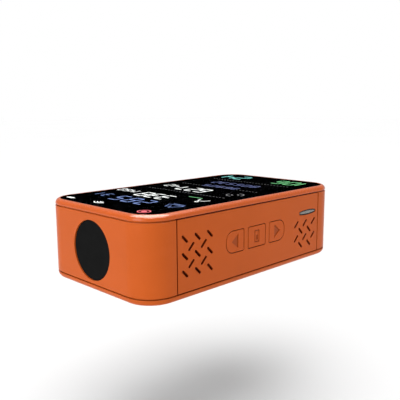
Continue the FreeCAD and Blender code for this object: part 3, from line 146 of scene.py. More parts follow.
class GrilleSizes(bpy.types.PropertyGroup):
    slot_length: length("Slot length", "Sound slots", 3.9)
    slot_width: length("Slot width", "Sound slots", 1.0)
    pitch: length("Slot pitch", "Spacing of the sound slots", 6.31)
    right_drop: length("Right grille drop", "Middle of the right mesh down to its lower row", 1.6)
    wire_pitch: length("Wire pitch", "Spacing of the dust mesh's wires", 0.58)
    wire_radius: length("Wire radius", "Wires of the dust mesh", 0.075)
    steps: IntProperty(name="Wire steps", description="Points on a wire per crossing", default=3, min=2)


class FittingSizes(bpy.types.PropertyGroup):
    end_half_height: length("Light ends", "Half height of the status light at its ends", 0.65)
    surround_wall: length("Light surround", "Wall of the status light's surround", 0.42)
    lens_gap: length("Lens gap", "Surround of the status light to its lens", 0.06)
    head_radius: length("Screw head radius", "Heads of the cover screws", 2.3)
    head_height: length("Screw head height", "Heads of the cover screws", 0.9)
    shank_radius: length("Screw shank radius", "Shanks of the cover screws", 1.2)
    hex_radius: length("Hex socket", "Corner radius of the hex sockets", 1.05)
    hex_depth: length("Hex depth", "Depth of the hex sockets", 0.6)
    flap_half_width: length("Flap half width", "Port flap, across the case", 6.4)
    flap_thickness: length("Flap thickness", "Port flap", 1.45)
    hinge_radius: length("Hinge radius", "Barrel of the port flap", 0.7)
    pin_radius: length("Pin hole", "Hole for the hinge pin", 0.4)
    hinge_inset: length("Hinge inset", "Top of the flap to the end of its barrel", 0.9)


class DisplaySizes(bpy.types.PropertyGroup):
    corner: length("Display corner", "Corners of the display", 6.0)
    sunk: length("Display sunk", "Underside of the glass to the display", 0.06)
    image_depth: length("Image depth", "Top of the glass down to the lit image bonded in it", 0.06)
    segment_depth: length("Segment depth", "Thickness of the lit segments", 0.03)
    segment_gap: length("Segment gap", "Gap between the segments of a digit", 0.2)
    bold: length("Bold stroke", "Stroke of the large digits", 0.72)
    fine: length("Fine stroke", "Stroke of the small digits and icons", 0.42)
    hair: length("Hair stroke", "Stroke of the dashed lines between the rows", 0.22)
    dash: length("Dash", "Dashes between the rows, and the gaps between them", 0.9)
    rule_reach: length("Rule reach", "Half length of the dashed lines", 23.5)
    ink: length("Ink", "Thickness of the black ink on the glass", 0.015)
    print_inner: length("Print width", "Outside face of the case to the inside of the black border", 5.7)


class Colours(bpy.types.PropertyGroup):
    shell: colour("Shell", "Moulded case", 0.525, 0.094, 0.0115)
    rim: colour("Rim", "Glossier top rim", 0.54, 0.084, 0.002)
    keys: colour("Keys", "Moulded keys", 0.525, 0.092, 0.0115)
    # Ink of the icon floors; it also stands as painted shade on the keys' sides deep in their gaps.
    ink: colour("Icon", "Floor of the sunk key icons", 0.34, 0.064, 0.014)
    # Painted shade: the orange darkened deep inside the sound slots, key openings and seams of the front
    # panel.
    painted_shade: colour("Shade", "Plastic deep inside the sound slots and key gaps", 0.20, 0.022, 0.003)
    flap: colour("Flap", "Rubber port flap", 0.55, 0.10, 0.022)
    # A real wire mesh, tinted the dark red-brown of shaded orange plastic: painted shade at the back of the
    # sound slots.
    mesh: colour("Mesh", "Dust meshes", 0.10, 0.012, 0.003)
    window: colour("Window", "Round end window", 0.0095, 0.0095, 0.0095)
    lens: colour("Lens", "Status light", 0.20, 0.195, 0.175)
    white: colour("White readout", "Middle rows and most icons", 0.90, 0.92, 0.90)
    blue: colour("Blue readout", "First row and its icon", 0.095, 0.165, 0.42)
    teal: colour("Teal readout", "Right-hand digits", 0.13, 0.55, 0.50)
    green: colour("Green readout", "Left-hand digits and bar", 0.10, 0.50, 0.16)
    red: colour("Red readout", "Alert icon", 0.80, 0.10, 0.13)
    slate: colour("Slate readout", "Dim rows of digits", 0.07, 0.095, 0.26)
    grey: colour("Grey readout", "Dim ring and dashed lines", 0.12, 0.12, 0.125)
    glow: FloatProperty(name="Glow", description="Strength of the lit segments", default=1.7, min=0.0)


class StageSettings(bpy.types.PropertyGroup):
    camera_place: FloatVectorProperty(
        name="Camera", description="Place of the camera", default=(-0.1679, -0.1681, 0.0672),
        subtype="TRANSLATION", unit="LENGTH",
    )
    bearing: FloatProperty(
        name="Bearing", description="From +X towards +Y", default=math.radians(45.03), subtype="ANGLE"
    )
    tilt: FloatProperty(
        name="Tilt", description="Upwards from level", default=math.radians(-9.47), subtype="ANGLE"
    )
    roll: FloatProperty(
        name="Roll", description="Turn about the view", default=math.radians(-0.29), subtype="ANGLE"
    )
    lens: FloatProperty(name="Lens", description="Focal length in mm on a 36 mm sensor", default=49.37)
    floor_level: FloatProperty(
        name="Floor", description="Level of the floor", default=-0.063, unit="LENGTH"
    )
    sky: FloatProperty(name="Sky", description="Strength of the light all round", default=0.52)
    overhead: FloatProperty(name="Overhead", description="Strength of the broad light above", default=2.1)
    spread: FloatProperty(
        name="Spread", description="Breadth of the light above", default=math.radians(66), subtype="ANGLE"
    )
    gleam: FloatProperty(
        name="Gleam", description="Power of the panel that only reflections see, in W", default=75.0
    )
    side: FloatProperty(name="Side", description="Power of the light beside the window, in W", default=2.35)


GROUPS = {
    "transceiver_case": CaseSizes,
    "transceiver_keys": KeySizes,
    "transceiver_grilles": GrilleSizes,
    "transceiver_fittings": FittingSizes,
    "transceiver_display": DisplaySizes,
    "transceiver_colours": Colours,
    "transceiver_stage": StageSettings,
}


def span(node):
    """Lowest and highest corner of a frame node, in millimetres."""
    low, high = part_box(node)
    return low / MM, high / MM


def middle(node):
    low, high = span(node)
    return (low + high) / 2


# Flat outlines


def arc(centre, radius, first, last, steps):
    """Points on an arc between two angles in degrees."""
    turns = [math.radians(first + (last - first) * step / steps) for step in range(steps + 1)]
    return [(centre[0] + radius * math.cos(turn), centre[1] + radius * math.sin(turn)) for turn in turns]


def rounded(half_u, half_v, radii, centre=(0.0, 0.0), steps=SMALL_STEPS):
    """A rounded rectangle. The radii go round from the lower right corner to the lower left."""
    if not isinstance(radii, tuple):
        radii = (radii,) * 4
    points = []
    ways = ((1, -1), (1, 1), (-1, 1), (-1, -1))
    for (way_u, way_v), radius, start in zip(ways, radii, (-90, 0, 90, 180)):
        corner = (centre[0] + way_u * (half_u - radius), centre[1] + way_v * (half_v - radius))
        points += arc(corner, radius, start, start + 90, steps)
    return points


def case_outline(inset):
    """The outline of the case, moved inwards."""
    _, high = span("main_housing")
    radius = bpy.context.scene.transceiver_case.corner_radius / MM - inset
    return rounded(high.x - inset, high.y - inset, radius, steps=CORNER_STEPS)


def key_outline(node, grow=0.0):
    """The outline of a key's cap, grown all round. A side key has two large outer corners."""
    keys = millimetres(bpy.context.scene.transceiver_keys)
    low, high = span(node)
    half_u, half_v = ((high - low) / 2).xz
    centre = (low + high) / 2
    small, large = keys.small_corner + grow, keys.large_corner + grow
    right = large if centre.x > half_u else small
    left = large if centre.x < -half_u else small
    reach = grow - keys.flange
    return rounded(half_u + reach, half_v + reach, (right, right, left, left), (centre.x, centre.z))


def slot_outline(centre, long, wide, lean):
    """A slot with round ends. Lean is 1 where it rises to the right and -1 where it falls."""
    points = arc((long / 2 - wide / 2, 0.0), wide / 2, -90, 90, SMALL_STEPS)
    points += arc((wide / 2 - long / 2, 0.0), wide / 2, 90, 270, SMALL_STEPS)
    half = math.sqrt(0.5)
    return [(centre[0] + (u - v * lean) * half, centre[1] + (u * lean + v) * half) for u, v in points]


def boat_outline(shrink):
    """The pointed oval of the status light: two long arcs between two short upright ends."""
    fittings = millimetres(bpy.context.scene.transceiver_fittings)
    low, high = span("status_surround")
    centre = (low + high) / 2
    reach, rise = (high - low).x / 2, (high - low).z / 2
    bulge = rise - fittings.end_half_height
    radius = (reach * reach + bulge * bulge) / (2 * bulge)
    turn = math.degrees(math.asin((reach - shrink) / radius))
    drop = radius - rise + shrink
    upper = arc((centre.x, centre.z - drop), radius, 90 - turn, 90 + turn, CORNER_STEPS)
    lower = arc((centre.x, centre.z + drop), radius, 270 - turn, 270 + turn, CORNER_STEPS)
    return upper + lower


# Solids


def take_mesh(thing):
    """The evaluated shape of a helper object as a plain mesh. The helper is removed."""
    bpy.context.view_layer.update()
    graph = bpy.context.evaluated_depsgraph_get()
    mesh = bpy.data.meshes.new_from_object(thing.evaluated_get(graph))
    bpy.data.objects.remove(thing)
    return mesh


def helper(name, data):
    thing = bpy.data.objects.new(name, data)
    bpy.context.scene.collection.objects.link(thing)
    return thing


def close_up(mesh, distance=1e-4):
    """Merges doubled corners and turns every face outwards."""
    work = bmesh.new()
    work.from_mesh(mesh)
    bmesh.ops.remove_doubles(work, verts=work.verts, dist=distance)
    bmesh.ops.dissolve_degenerate(work, edges=work.edges, dist=distance)
    bmesh.ops.recalc_face_normals(work, faces=work.faces)
    work.to_mesh(mesh)
    work.free()
    return mesh


def add_outline(curve, points):
    spline = curve.splines.new("POLY")
    spline.points.add(len(points) - 1)
    for point, (u, v) in zip(spline.points, points):
        point.co = (u, v, 0.0, 1.0)
    spline.use_cyclic_u = True


def plate(outlines, face, back, softness, side):
    """A flat plate facing one side of the case. The first outline is its edge, the rest are holes.

    Face and back are distances from the middle of the case, and softness rounds every edge.
    """
    curve = bpy.data.curves.new("plate", "CURVE")
    curve.dimensions = "2D"
    curve.fill_mode = "BOTH"
    for points in outlines:
        add_outline(curve, points)
    curve.extrude = (face - back) / 2 - softness
    curve.bevel_depth = softness
    curve.bevel_resolution = 2
    curve.offset = -softness
    mesh = take_mesh(helper("plate", curve))
    mesh.transform(SIDES[side] @ Matrix.Translation((0.0, 0.0, (face + back) / 2)))
    return close_up(mesh)


def from_rings(rings, closed):
    """Skins a list of rings of points. A closed skin joins the last ring to the first."""
    work = bmesh.new()
    layers = [[work.verts.new(point) for point in ring] for ring in rings]
    pairs = list(zip(layers, layers[1:]))
    if closed:
        pairs.append((layers[-1], layers[0]))
    else:
        work.faces.new(layers[0])
        work.faces.new(layers[-1])
    for lower, upper in pairs:
        for number in range(len(lower)):
            after = (number + 1) % len(lower)
            work.faces.new((lower[number], lower[after], upper[after], upper[number]))
    mesh = bpy.data.meshes.new("skin")
    work.to_mesh(mesh)
    work.free()
    return close_up(mesh)


def stacked(outline, levels):
    """A solid from outlines at rising levels. Outline gives the points for an inset."""
    return from_rings([[(x, y, level) for x, y in outline(inset)] for inset, level in levels], False)


def turned(section, side, centre, steps=96):
    """A solid of revolution. The section goes from one end of the axis to the other as (radius, w)."""
    rings = []
    for radius, height in section:
        turns = [2 * math.pi * step / steps for step in range(steps)]
        rings.append([(radius * math.cos(turn), radius * math.sin(turn), height) for turn in turns])
    mesh = from_rings(rings, False)
    mesh.transform(SIDES[side] @ Matrix.Translation((*centre, 0.0)))
    return mesh


def combine(operation, base, *tools):
    """The base mesh with the tools joined to it, or cut from it."""
    thing = helper("base", base)
    others = []
    for tool in tools:
        other = helper("tool", tool)
        modifier = thing.modifiers.new("combine", "BOOLEAN")
        modifier.operation = operation
        modifier.solver = "EXACT"
        modifier.object = other
        others.append(other)
    mesh = take_mesh(thing)
    for other in others:
        bpy.data.objects.remove(other)
    return close_up(mesh)


def block(low, high):
    """A plain cutter between two corners."""
    work = bmesh.new()
    bmesh.ops.create_cube(work, size=1.0)
    mesh = bpy.data.meshes.new("block")
    work.to_mesh(mesh)
    work.free()
    low, high = Vector(low), Vector(high)
    scale = Matrix.Diagonal((*(high - low), 1.0))
    mesh.transform(Matrix.Translation((low + high) / 2) @ scale)
    return mesh


def joined(meshes):
    """Several meshes as one, each still a closed shell of its own."""
    work = bmesh.new()
    for mesh in meshes:
        work.from_mesh(mesh)
    result = bpy.data.meshes.new("joined")
    work.to_mesh(result)
    work.free()
    return result


def flat_regions(work, limit=0.02):
    """Numbers the faces so that faces in one plane share a number, and adds up each region's area."""
    number_of, areas = {}, []
    for start in work.faces:
        if start in number_of:
            continue
        number_of[start] = len(areas)
        area, waiting = 0.0, [start]
        while waiting:
            face = waiting.pop()
            area += face.calc_area()
            for edge in face.edges:
                for near in edge.link_faces:
                    if near not in number_of and near.normal.angle(start.normal, math.pi) < limit:
                        number_of[near] = number_of[start]
                        waiting.append(near)
        areas.append(area)
    return number_of, areas


def settle_normals(mesh, crease=42.0):
    """Keeps flat faces flat right to their edges, and blends the roundings between them."""
    work = bmesh.new()
    work.from_mesh(mesh)
    work.normal_update()
    number_of, areas = flat_regions(work)
    least = math.cos(math.radians(crease))
    normals = []
    for face in work.faces:
        for loop in face.loops:
            near = {number_of[other]: other.normal for other in loop.vert.link_faces
                    if other.normal.dot(face.normal) > least}
            total = sum((normal * areas[number] for number, normal in near.items()), Vector())
            normals.append(total.normalized() if total.length > 0 else face.normal.copy())
    work.free()
    mesh.shade_smooth()
    mesh.normals_split_custom_set(normals)


def finish_piece(name, mesh, finish, nodes=(), body=CASE, slot=None):
    """Makes the piece in metres, gives it its finish, and hangs it on its body.

    The slot argument is not used.
    """
    if slot is None:
        slot = finish
    mesh.transform(Matrix.Diagonal((MM, MM, MM, 1.0)))
    mesh.name = name
    settle_normals(mesh)
    mesh.materials.clear()
    mesh.materials.append(FINISHES[finish])
    for polygon in mesh.polygons:
        polygon.material_index = 0
    thing = helper(name, mesh)
    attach(thing, body)
    if nodes:
        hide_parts(*nodes)


# Geometry Nodes


class Nodes:
    """Short ways to add nodes to a node tree."""

    def __init__(self, graph):
        self.graph = graph

    def add(self, kind, inputs, output=0, **settings):
        """Adds a node, sets or links its inputs, and returns one of its outputs."""
        node = self.graph.nodes.new(kind)
        for key, value in settings.items():
            setattr(node, key, value)
        for key, value in inputs.items():
            if isinstance(value, bpy.types.NodeSocket):
                self.graph.links.new(value, node.inputs[key])
            else:
                node.inputs[key].default_value = value
        return node.outputs[output]

    def math(self, operation, first, second=0.0):
        return self.add("ShaderNodeMath", {0: first, 1: second}, operation=operation)

    def part(self, vector, axis):
        """One coordinate of a vector."""
        return self.add("ShaderNodeSeparateXYZ", {0: vector}, output=axis)


class Tree(Nodes):
    """A Geometry Nodes tree with named inputs."""

    KINDS = {
        "length": "NodeSocketFloat",
        "count": "NodeSocketInt",
        "object": "NodeSocketObject",
        "finish": "NodeSocketMaterial",
        "shape": "NodeSocketGeometry",
    }

    def __init__(self, name, inputs):
        super().__init__(bpy.data.node_groups.new(name, "GeometryNodeTree"))
        for title, kind in inputs.items():
            self.graph.interface.new_socket(title, in_out="INPUT", socket_type=self.KINDS[kind])
        self.graph.interface.new_socket("Geometry", in_out="OUTPUT", socket_type="NodeSocketGeometry")
        self.given = self.graph.nodes.new("NodeGroupInput").outputs

    def end(self, shape):
        """Realizes the result, sets its material and sends it out."""
        real = self.add("GeometryNodeRealizeInstances", {"Geometry": shape})
        done = self.add("GeometryNodeSetMaterial", {"Geometry": real, "Material": self.given["Finish"]})
        self.graph.links.new(done, self.graph.nodes.new("NodeGroupOutput").inputs[0])

    def grow(self, data, **values):
        """Runs the tree on an object that holds data, and returns the plain mesh it makes."""
        thing = helper(self.graph.name, data)
        modifier = thing.modifiers.new(self.graph.name, "NODES")
        modifier.node_group = self.graph
        for item in self.graph.interface.items_tree:
            title = item.name.lower().replace(" ", "_")
            if item.in_out == "INPUT" and title in values:
                modifier[item.identifier] = values[title]
        return take_mesh(thing)


def empty_mesh():
    return bpy.data.meshes.new("start")


def lap_tree():
    """Sweeps a closed section round a rounded rectangle.

    The section's x points outwards and its y down.
    """
    tree = Tree("Lap", {
        "Length": "length", "Width": "length", "Corner": "length", "Steps": "count",
        "Section": "object", "Finish": "finish",
    })
    path = tree.add(
        "GeometryNodeCurvePrimitiveQuadrilateral",
        {"Width": tree.given["Length"], "Height": tree.given["Width"]},
    )
    path = tree.add(
        "GeometryNodeFilletCurve",
        {"Curve": path, "Radius": tree.given["Corner"], "Count": tree.given["Steps"]},
        mode="POLY",
    )
    path = tree.add("GeometryNodeSetCurveNormal", {"Curve": path}, mode="Z_UP")
    section = tree.add("GeometryNodeObjectInfo", {"Object": tree.given["Section"]}, output="Geometry")
    tree.end(tree.add("GeometryNodeCurveToMesh", {"Curve": path, "Profile Curve": section}))
    return tree


def lap(section, length_, width, corner, finish):
    """Runs the Lap tree with a section given as (outwards, height) points, counter-clockwise."""
    curve = bpy.data.curves.new("section", "CURVE")
    curve.dimensions = "2D"
    curve.fill_mode = "NONE"
    add_outline(curve, [(outwards, -height) for outwards, height in section])
    holder = helper("section", curve)
    mesh = lap_tree().grow(
        empty_mesh(), length=length_, width=width, corner=corner, steps=CORNER_STEPS,
        section=holder, finish=FINISHES[finish],
    )
    bpy.data.objects.remove(holder)
    return close_up(mesh)


def weave_tree():
    """A woven wire mesh in the plane of u and v: two sets of wires, over and under in turn."""
    tree = Tree("Wire weave", {
        "Width": "length", "Height": "length", "Pitch": "length", "Wire": "length",
        "Steps": "count", "Finish": "finish",
    })
    pitch, wire = tree.given["Pitch"], tree.given["Wire"]
    place = tree.add("GeometryNodeInputPosition", {})
    turns = [tree.math("DIVIDE", tree.part(place, axis), pitch) for axis in "XY"]
    waves = [tree.math("COSINE", tree.math("MULTIPLY", turn, math.pi)) for turn in turns]
    wave = tree.math("MULTIPLY", tree.math("MULTIPLY", waves[0], waves[1]), wire)
    thread = tree.add("GeometryNodeCurvePrimitiveCircle", {"Resolution": 6, "Radius": wire})
    both = tree.graph.nodes.new("GeometryNodeJoinGeometry")
    for way, along, across, run, rise in (
        (1.0, "Width", "Height", "X", "Y"), (-1.0, "Height", "Width", "Y", "X")
    ):
        half = tree.math("MULTIPLY", tree.given[along], 0.5)
        ends = [
            tree.add("ShaderNodeCombineXYZ", {run: tree.math("MULTIPLY", half, end)}) for end in (-1.0, 1.0)
        ]
        line = tree.add("GeometryNodeCurvePrimitiveLine", {"Start": ends[0], "End": ends[1]})
        crossings = tree.math("DIVIDE", tree.given[along], pitch)
        points = tree.math("MULTIPLY", crossings, tree.given["Steps"])
        line = tree.add("GeometryNodeResampleCurve", {"Curve": line, "Count": points})
        room = tree.math("DIVIDE", tree.math("MULTIPLY", tree.given[across], 0.5), pitch)
        rows = tree.math("FLOOR", room)
        lowest = tree.math("MULTIPLY", tree.math("MULTIPLY", rows, pitch), -1.0)
        posts = tree.add("GeometryNodeMeshLine", {
            "Count": tree.math("ADD", tree.math("MULTIPLY", rows, 2.0), 1.0),
            "Start Location": tree.add("ShaderNodeCombineXYZ", {rise: lowest}),
            "Offset": tree.add("ShaderNodeCombineXYZ", {rise: pitch}),
        })
        wires = tree.add("GeometryNodeInstanceOnPoints", {"Points": posts, "Instance": line})
        wires = tree.add("GeometryNodeRealizeInstances", {"Geometry": wires})
        lift = tree.add("ShaderNodeCombineXYZ", {"Z": tree.math("MULTIPLY", wave, way)})
        wires = tree.add("GeometryNodeSetPosition", {"Geometry": wires, "Offset": lift})
        wires = tree.add(
            "GeometryNodeCurveToMesh", {"Curve": wires, "Profile Curve": thread, "Fill Caps": True}
        )
        tree.graph.links.new(wires, both.inputs[0])
    tree.end(both.outputs[0])
    return tree


def stroke_tree():
    """Turns the lines of a flat drawing into thin lit bars."""
    tree = Tree("Lit strokes", {
        "Drawing": "shape", "Stroke": "length", "Depth": "length", "Finish": "finish",
    })
    lines = tree.add("GeometryNodeSetCurveNormal", {"Curve": tree.given["Drawing"]}, mode="Z_UP")
    bar = tree.add(
        "GeometryNodeCurvePrimitiveQuadrilateral",
        {"Width": tree.given["Stroke"], "Height": tree.given["Depth"]},
    )
    tree.end(tree.add("GeometryNodeCurveToMesh", {"Curve": lines, "Profile Curve": bar, "Fill Caps": True}))
    return tree


def corner_tree():
    """Puts one piece at each corner of a rectangle."""
    tree = Tree("Four corners", {
        "Along": "length", "Across": "length", "Part": "object", "Finish": "finish",
    })
    grid = tree.add(
        "GeometryNodeMeshGrid",
        {"Size X": tree.given["Along"], "Size Y": tree.given["Across"], "Vertices X": 2, "Vertices Y": 2},
    )
    part = tree.add("GeometryNodeObjectInfo", {"Object": tree.given["Part"]}, output="Geometry")
    tree.end(tree.add("GeometryNodeInstanceOnPoints", {"Points": grid, "Instance": part}))
    return tree


# Finishes


class Finish(Nodes):
    """A procedural material on one Principled shader, with patterns on Object coordinates."""

    def __init__(self, name, colour, roughness, **sockets):
        self.name = name
        self.colour = colour
        self.material = bpy.data.materials.new(name)
        self.material.use_nodes = True
        super().__init__(self.material.node_tree)
        self.shader = self.graph.nodes["Principled BSDF"]
        self.shader.inputs["Base Color"].default_value = (*colour, 1.0)
        self.shader.inputs["Roughness"].default_value = roughness
        for key, value in sockets.items():
            self.shader.inputs[key.replace("_", " ")].default_value = value
        self.place = self.graph.nodes.new("ShaderNodeTexCoord").outputs["Object"]

    def stretched(self, *scale):
        """Object coordinates stretched along the axes."""
        return self.add("ShaderNodeMapping", {"Vector": self.place, "Scale": scale})

    def noise(self, size, detail=3.0, place=None):
        """A cloudy pattern whose patches are about size millimetres across."""
        return self.add(
            "ShaderNodeTexNoise",
            {"Vector": place or self.place, "Scale": 1.0 / (size * MM), "Detail": detail},
        )

    def bands(self, size, axis):
        """Parallel lines one size apart, in millimetres."""
        scale = math.pi / (10 * size * MM)
        return self.add("ShaderNodeTexWave", {"Vector": self.place, "Scale": scale}, bands_direction=axis)

    def cells(self, size, feature="F1"):
        """Irregular cells about size millimetres across."""
        return self.add(
            "ShaderNodeTexVoronoi", {"Vector": self.place, "Scale": 1.0 / (size * MM)},
            output="Distance", feature=feature,
        )

    def between(self, pattern, low, high, first=0.0, last=1.0):
        """Maps a pattern from the span low to high onto first to last."""
        return self.add(
            "ShaderNodeMapRange",
            {"Value": pattern, "From Min": low, "From Max": high, "To Min": first, "To Max": last},
        )

    def mix(self, share, first, second):
        """Mixes two colours, plain or patterned, by a share from 0 to 1."""
        first, second = (
            end if isinstance(end, bpy.types.NodeSocket) else (*end, 1.0) for end in (first, second)
        )
        return self.add("ShaderNodeMix", {0: share, 6: first, 7: second}, output=2, data_type="RGBA")

    def shades(self, pattern, darker, lighter, edges=EDGES):
        """The finish's own colour, from darker to lighter, as a pattern runs between two edges."""
        dark, light = ([min(1.0, value * level) for value in self.colour] for level in (darker, lighter))
        return self.mix(self.between(pattern, *edges), dark, light)

    def set_colour(self, socket):
        self.graph.links.new(socket, self.shader.inputs["Base Color"])

    def set_roughness(self, pattern, least, most, edges=EDGES):
        self.graph.links.new(self.between(pattern, *edges, least, most), self.shader.inputs["Roughness"])

    def set_bump(self, height, depth):
        """Bump from a pattern, whose full height is depth in millimetres."""
        bump = self.add("ShaderNodeBump", {"Height": height, "Distance": depth * MM}, output="Normal")
        self.graph.links.new(bump, self.shader.inputs["Normal"])

    def dress(self, clouds, tones, fine, rough, depth, edges=EDGES):
        """Tints the colour over the clouds. The fine pattern moves the roughness and makes the bump."""
        self.set_colour(self.shades(clouds, *tones))
        self.set_roughness(fine, *rough, edges)
        self.set_bump(fine, depth)
        return self


def moulded(name, colour, roughness=0.36, grain=0.32, depth=0.008, **sockets):
    """Spark-textured moulded plastic: fine grain, faint flow clouds, and small rubbed patches."""
    finish = Finish(name, colour, roughness, **{"Specular_IOR_Level": 0.1, **sockets})
    fine = finish.noise(grain, 4.0)
    rubbed = finish.math("MULTIPLY", finish.between(finish.noise(7.0, 8.0), 0.60, 0.74), 0.35)
    base = finish.shades(finish.noise(26.0, 4.0), 0.965, 1.03, (0.35, 0.65))
    worn = [min(1.0, value * 1.06 + 0.006) for value in colour]
    finish.set_colour(finish.mix(rubbed, base, worn))
    pattern = finish.math("SUBTRACT", fine, rubbed)
    finish.set_roughness(pattern, roughness - 0.06, roughness + 0.08, (0.2, 0.8))
    finish.set_bump(fine, depth)
    return finish


def sink_colour(finish, face, first, last, colour):
    """Changes a finish's colour between two depths behind the front face, in millimetres. It paints shade
    into the front panel's hollows, and ink and painted shade into the keys.
    """
    plain = finish.shader.inputs["Base Color"].links[0].from_socket
    share = finish.between(finish.part(finish.place, "Y"), (face + first) * MM, (face + last) * MM)
    finish.set_colour(finish.mix(share, plain, colour))
    return finish


def key_finish(name, colour, ink, face, depth):
    """Moulded keys whose sunk icons are a darker ink. The same ink covers each key's sides below half the
    icon depth, as painted shade in the gaps round the keys.
    """
    finish = moulded(name, colour, 0.36, 0.26, 0.006)
    speckle = finish.shades(finish.noise(0.3, 2.0), 0.9, 1.1)
    # Ink from half to three quarters of the icon depth: print in the icons, and painted shade on the key
    # sides in the gaps.
    return sink_colour(finish, face, depth * 0.5, depth * 0.75, finish.mix(0.85, speckle, ink))


def rubber(name, colour, roughness=0.62):
    finish = Finish(name, colour, roughness, Sheen_Weight=0.12, Sheen_Roughness=0.5)
    rough = (roughness - 0.06, roughness + 0.1)
    return finish.dress(finish.noise(4.0, 5.0), (0.92, 1.06), finish.noise(0.22), rough, 0.012, BROAD)


def brushed(name, colour, roughness, scale):
    """Metal with fine lines drawn along one axis."""
    finish = Finish(name, colour, roughness, Metallic=1.0)
    lines = finish.noise(0.5, 4.0, finish.stretched(*scale))
    rough = (roughness - 0.08, roughness + 0.12)
    return finish.dress(finish.noise(5.0, 4.0), (0.9, 1.06), lines, rough, 0.004, BROAD)


def turned_metal(name, colour, roughness):
    """Machined metal with a fine cloudy tarnish."""
    finish = Finish(name, colour, roughness, Metallic=1.0)
    rough = (roughness - 0.05, roughness + 0.15)
    return finish.dress(finish.noise(1.4, 5.0), (0.85, 1.08), finish.noise(0.18), rough, 0.004, BROAD)


def woven_wire(name, colour):
    finish = Finish(name, colour, 0.55)
    return finish.dress(finish.noise(1.2, 4.0), (0.8, 1.2), finish.noise(0.08, 2.0), (0.45, 0.65), 0.004)


def chip_mould(name):
    finish = Finish(name, (0.018, 0.018, 0.019), 0.55)
    return finish.dress(finish.noise(1.5), (0.85, 1.2), finish.noise(0.15), (0.48, 0.65), 0.01)


def paper_cone(name):
    finish = Finish(name, (0.035, 0.033, 0.032), 0.75)
    fibres = finish.noise(0.5, 6.0, finish.stretched(1.0, 1.0, 3.0))
    return finish.dress(fibres, (0.7, 1.4), fibres, (0.68, 0.85), 0.04)


def printed_board(name):
    """Green solder mask with raised tracks and a scatter of plated holes."""
    mask, track, plating = (0.012, 0.10, 0.035), (0.03, 0.19, 0.06), (0.55, 0.36, 0.10)
    finish = Finish(name, mask, 0.34, Coat_Weight=0.3, Coat_Roughness=0.15)
    tracks = finish.between(finish.cells(2.4, feature="DISTANCE_TO_EDGE"), 0.05, 0.09, 1.0, 0.0)
    holes = finish.between(finish.cells(1.7), 0.16, 0.19, 1.0, 0.0)
    finish.set_colour(finish.mix(holes, finish.mix(tracks, mask, track), plating))
    finish.set_roughness(finish.noise(0.6, 4.0), 0.28, 0.42)
    finish.set_bump(finish.math("ADD", tracks, holes), 0.03)
    return finish


def wound_wire(name, axis):
    """Enamelled copper wire wound in close turns along an axis."""
    finish = Finish(name, (0.52, 0.17, 0.05), 0.28, Metallic=0.9)
    turns = finish.bands(0.35, axis)
    # Painted shade and highlight: each turn darkens to 0.45 in the crease between turns and lightens to 1.1
    # on its crest.
    finish.set_colour(finish.shades(turns, 0.45, 1.1, (0.0, 1.0)))
    finish.set_roughness(finish.noise(0.5), 0.22, 0.38)
    finish.set_bump(turns, 0.12)
    return finish


def foil_pack(name):
    """The battery's laminated foil, slightly crumpled, with a band of yellow tape at one end."""
    finish = Finish(name, (0.55, 0.56, 0.58), 0.34, Metallic=0.85)
    low, _ = span("battery_pack")
    along = finish.part(finish.place, "X")
    tape = finish.between(along, (low.x + 5.0) * MM, (low.x + 5.2) * MM, 1.0, 0.0)
    crumple = finish.noise(6.0, 5.0)
    finish.set_colour(finish.mix(tape, finish.shades(crumple, 0.85, 1.1), (0.62, 0.36, 0.03)))
    finish.set_roughness(finish.noise(1.1), 0.28, 0.45)
    finish.set_bump(crumple, 0.25)
    return finish


def ribbon_film(name):
    """Amber film over fine parallel conductors."""
    finish = Finish(name, (0.50, 0.20, 0.035), 0.35, Coat_Weight=0.4, Coat_Roughness=0.1)
    lines, cross = finish.bands(0.5, "X"), finish.bands(0.5, "Y")
    finish.set_colour(finish.shades(finish.math("MAXIMUM", lines, cross), 0.6, 1.1, (0.4, 0.8)))
    finish.set_roughness(finish.noise(0.7), 0.28, 0.42)
    finish.set_bump(lines, 0.02)
    return finish


def ferrite_rod(name):
    finish = Finish(name, (0.045, 0.044, 0.046), 0.5)
    grain = finish.cells(0.35)
    finish.set_colour(finish.shades(grain, 0.75, 1.5, (0.0, 0.6)))
    finish.set_roughness(finish.noise(0.9, 4.0), 0.42, 0.6)
    finish.set_bump(grain, 0.02)
    return finish


def clear_cover(name):
    """Cover glass bonded to the display and coated against reflections, with faint wiping marks."""
    finish = Finish(name, (0.97, 0.985, 0.99), 0.0, Transmission_Weight=1.0, IOR=1.0)
    finish.set_colour(finish.shades(finish.noise(9.0, 6.0, finish.stretched(1.0, 2.5, 1.0)), 0.97, 1.0))
    return finish


def dark_glass(name, colour):
    """Smoked window plastic: even and matt, with very faint moulding flow."""
    finish = Finish(name, colour, 0.5, Specular_IOR_Level=0.0)
    finish.set_colour(finish.shades(finish.noise(3.5, 5.0), 0.93, 1.07))
    finish.set_roughness(finish.noise(0.5), 0.46, 0.58)
    finish.set_bump(finish.noise(0.25, 2.0), 0.003)
    return finish


def black_film(name):
    """Printed black, as on the border of the glass and the face of the display when it is dark."""
    finish = Finish(name, (0.0008, 0.0008, 0.001), 0.5, Specular_IOR_Level=0.0)
    fine = finish.noise(0.12, 2.0)
    finish.set_colour(finish.shades(fine, 0.7, 1.3))
    finish.set_roughness(fine, 0.42, 0.6)
    return finish


def frosted_lens(name, colour):
    """Pale diffusing plastic with shallow prisms moulded across it."""
    finish = Finish(name, colour, 0.26, Coat_Weight=0.6, Coat_Roughness=0.12, Transmission_Weight=0.25)
    prisms = finish.bands(0.45, "X")
    finish.set_colour(finish.shades(prisms, 0.85, 1.12, (0.0, 1.0)))
    finish.set_roughness(finish.noise(0.3), 0.22, 0.34)
    finish.set_bump(prisms, 0.03)
    return finish


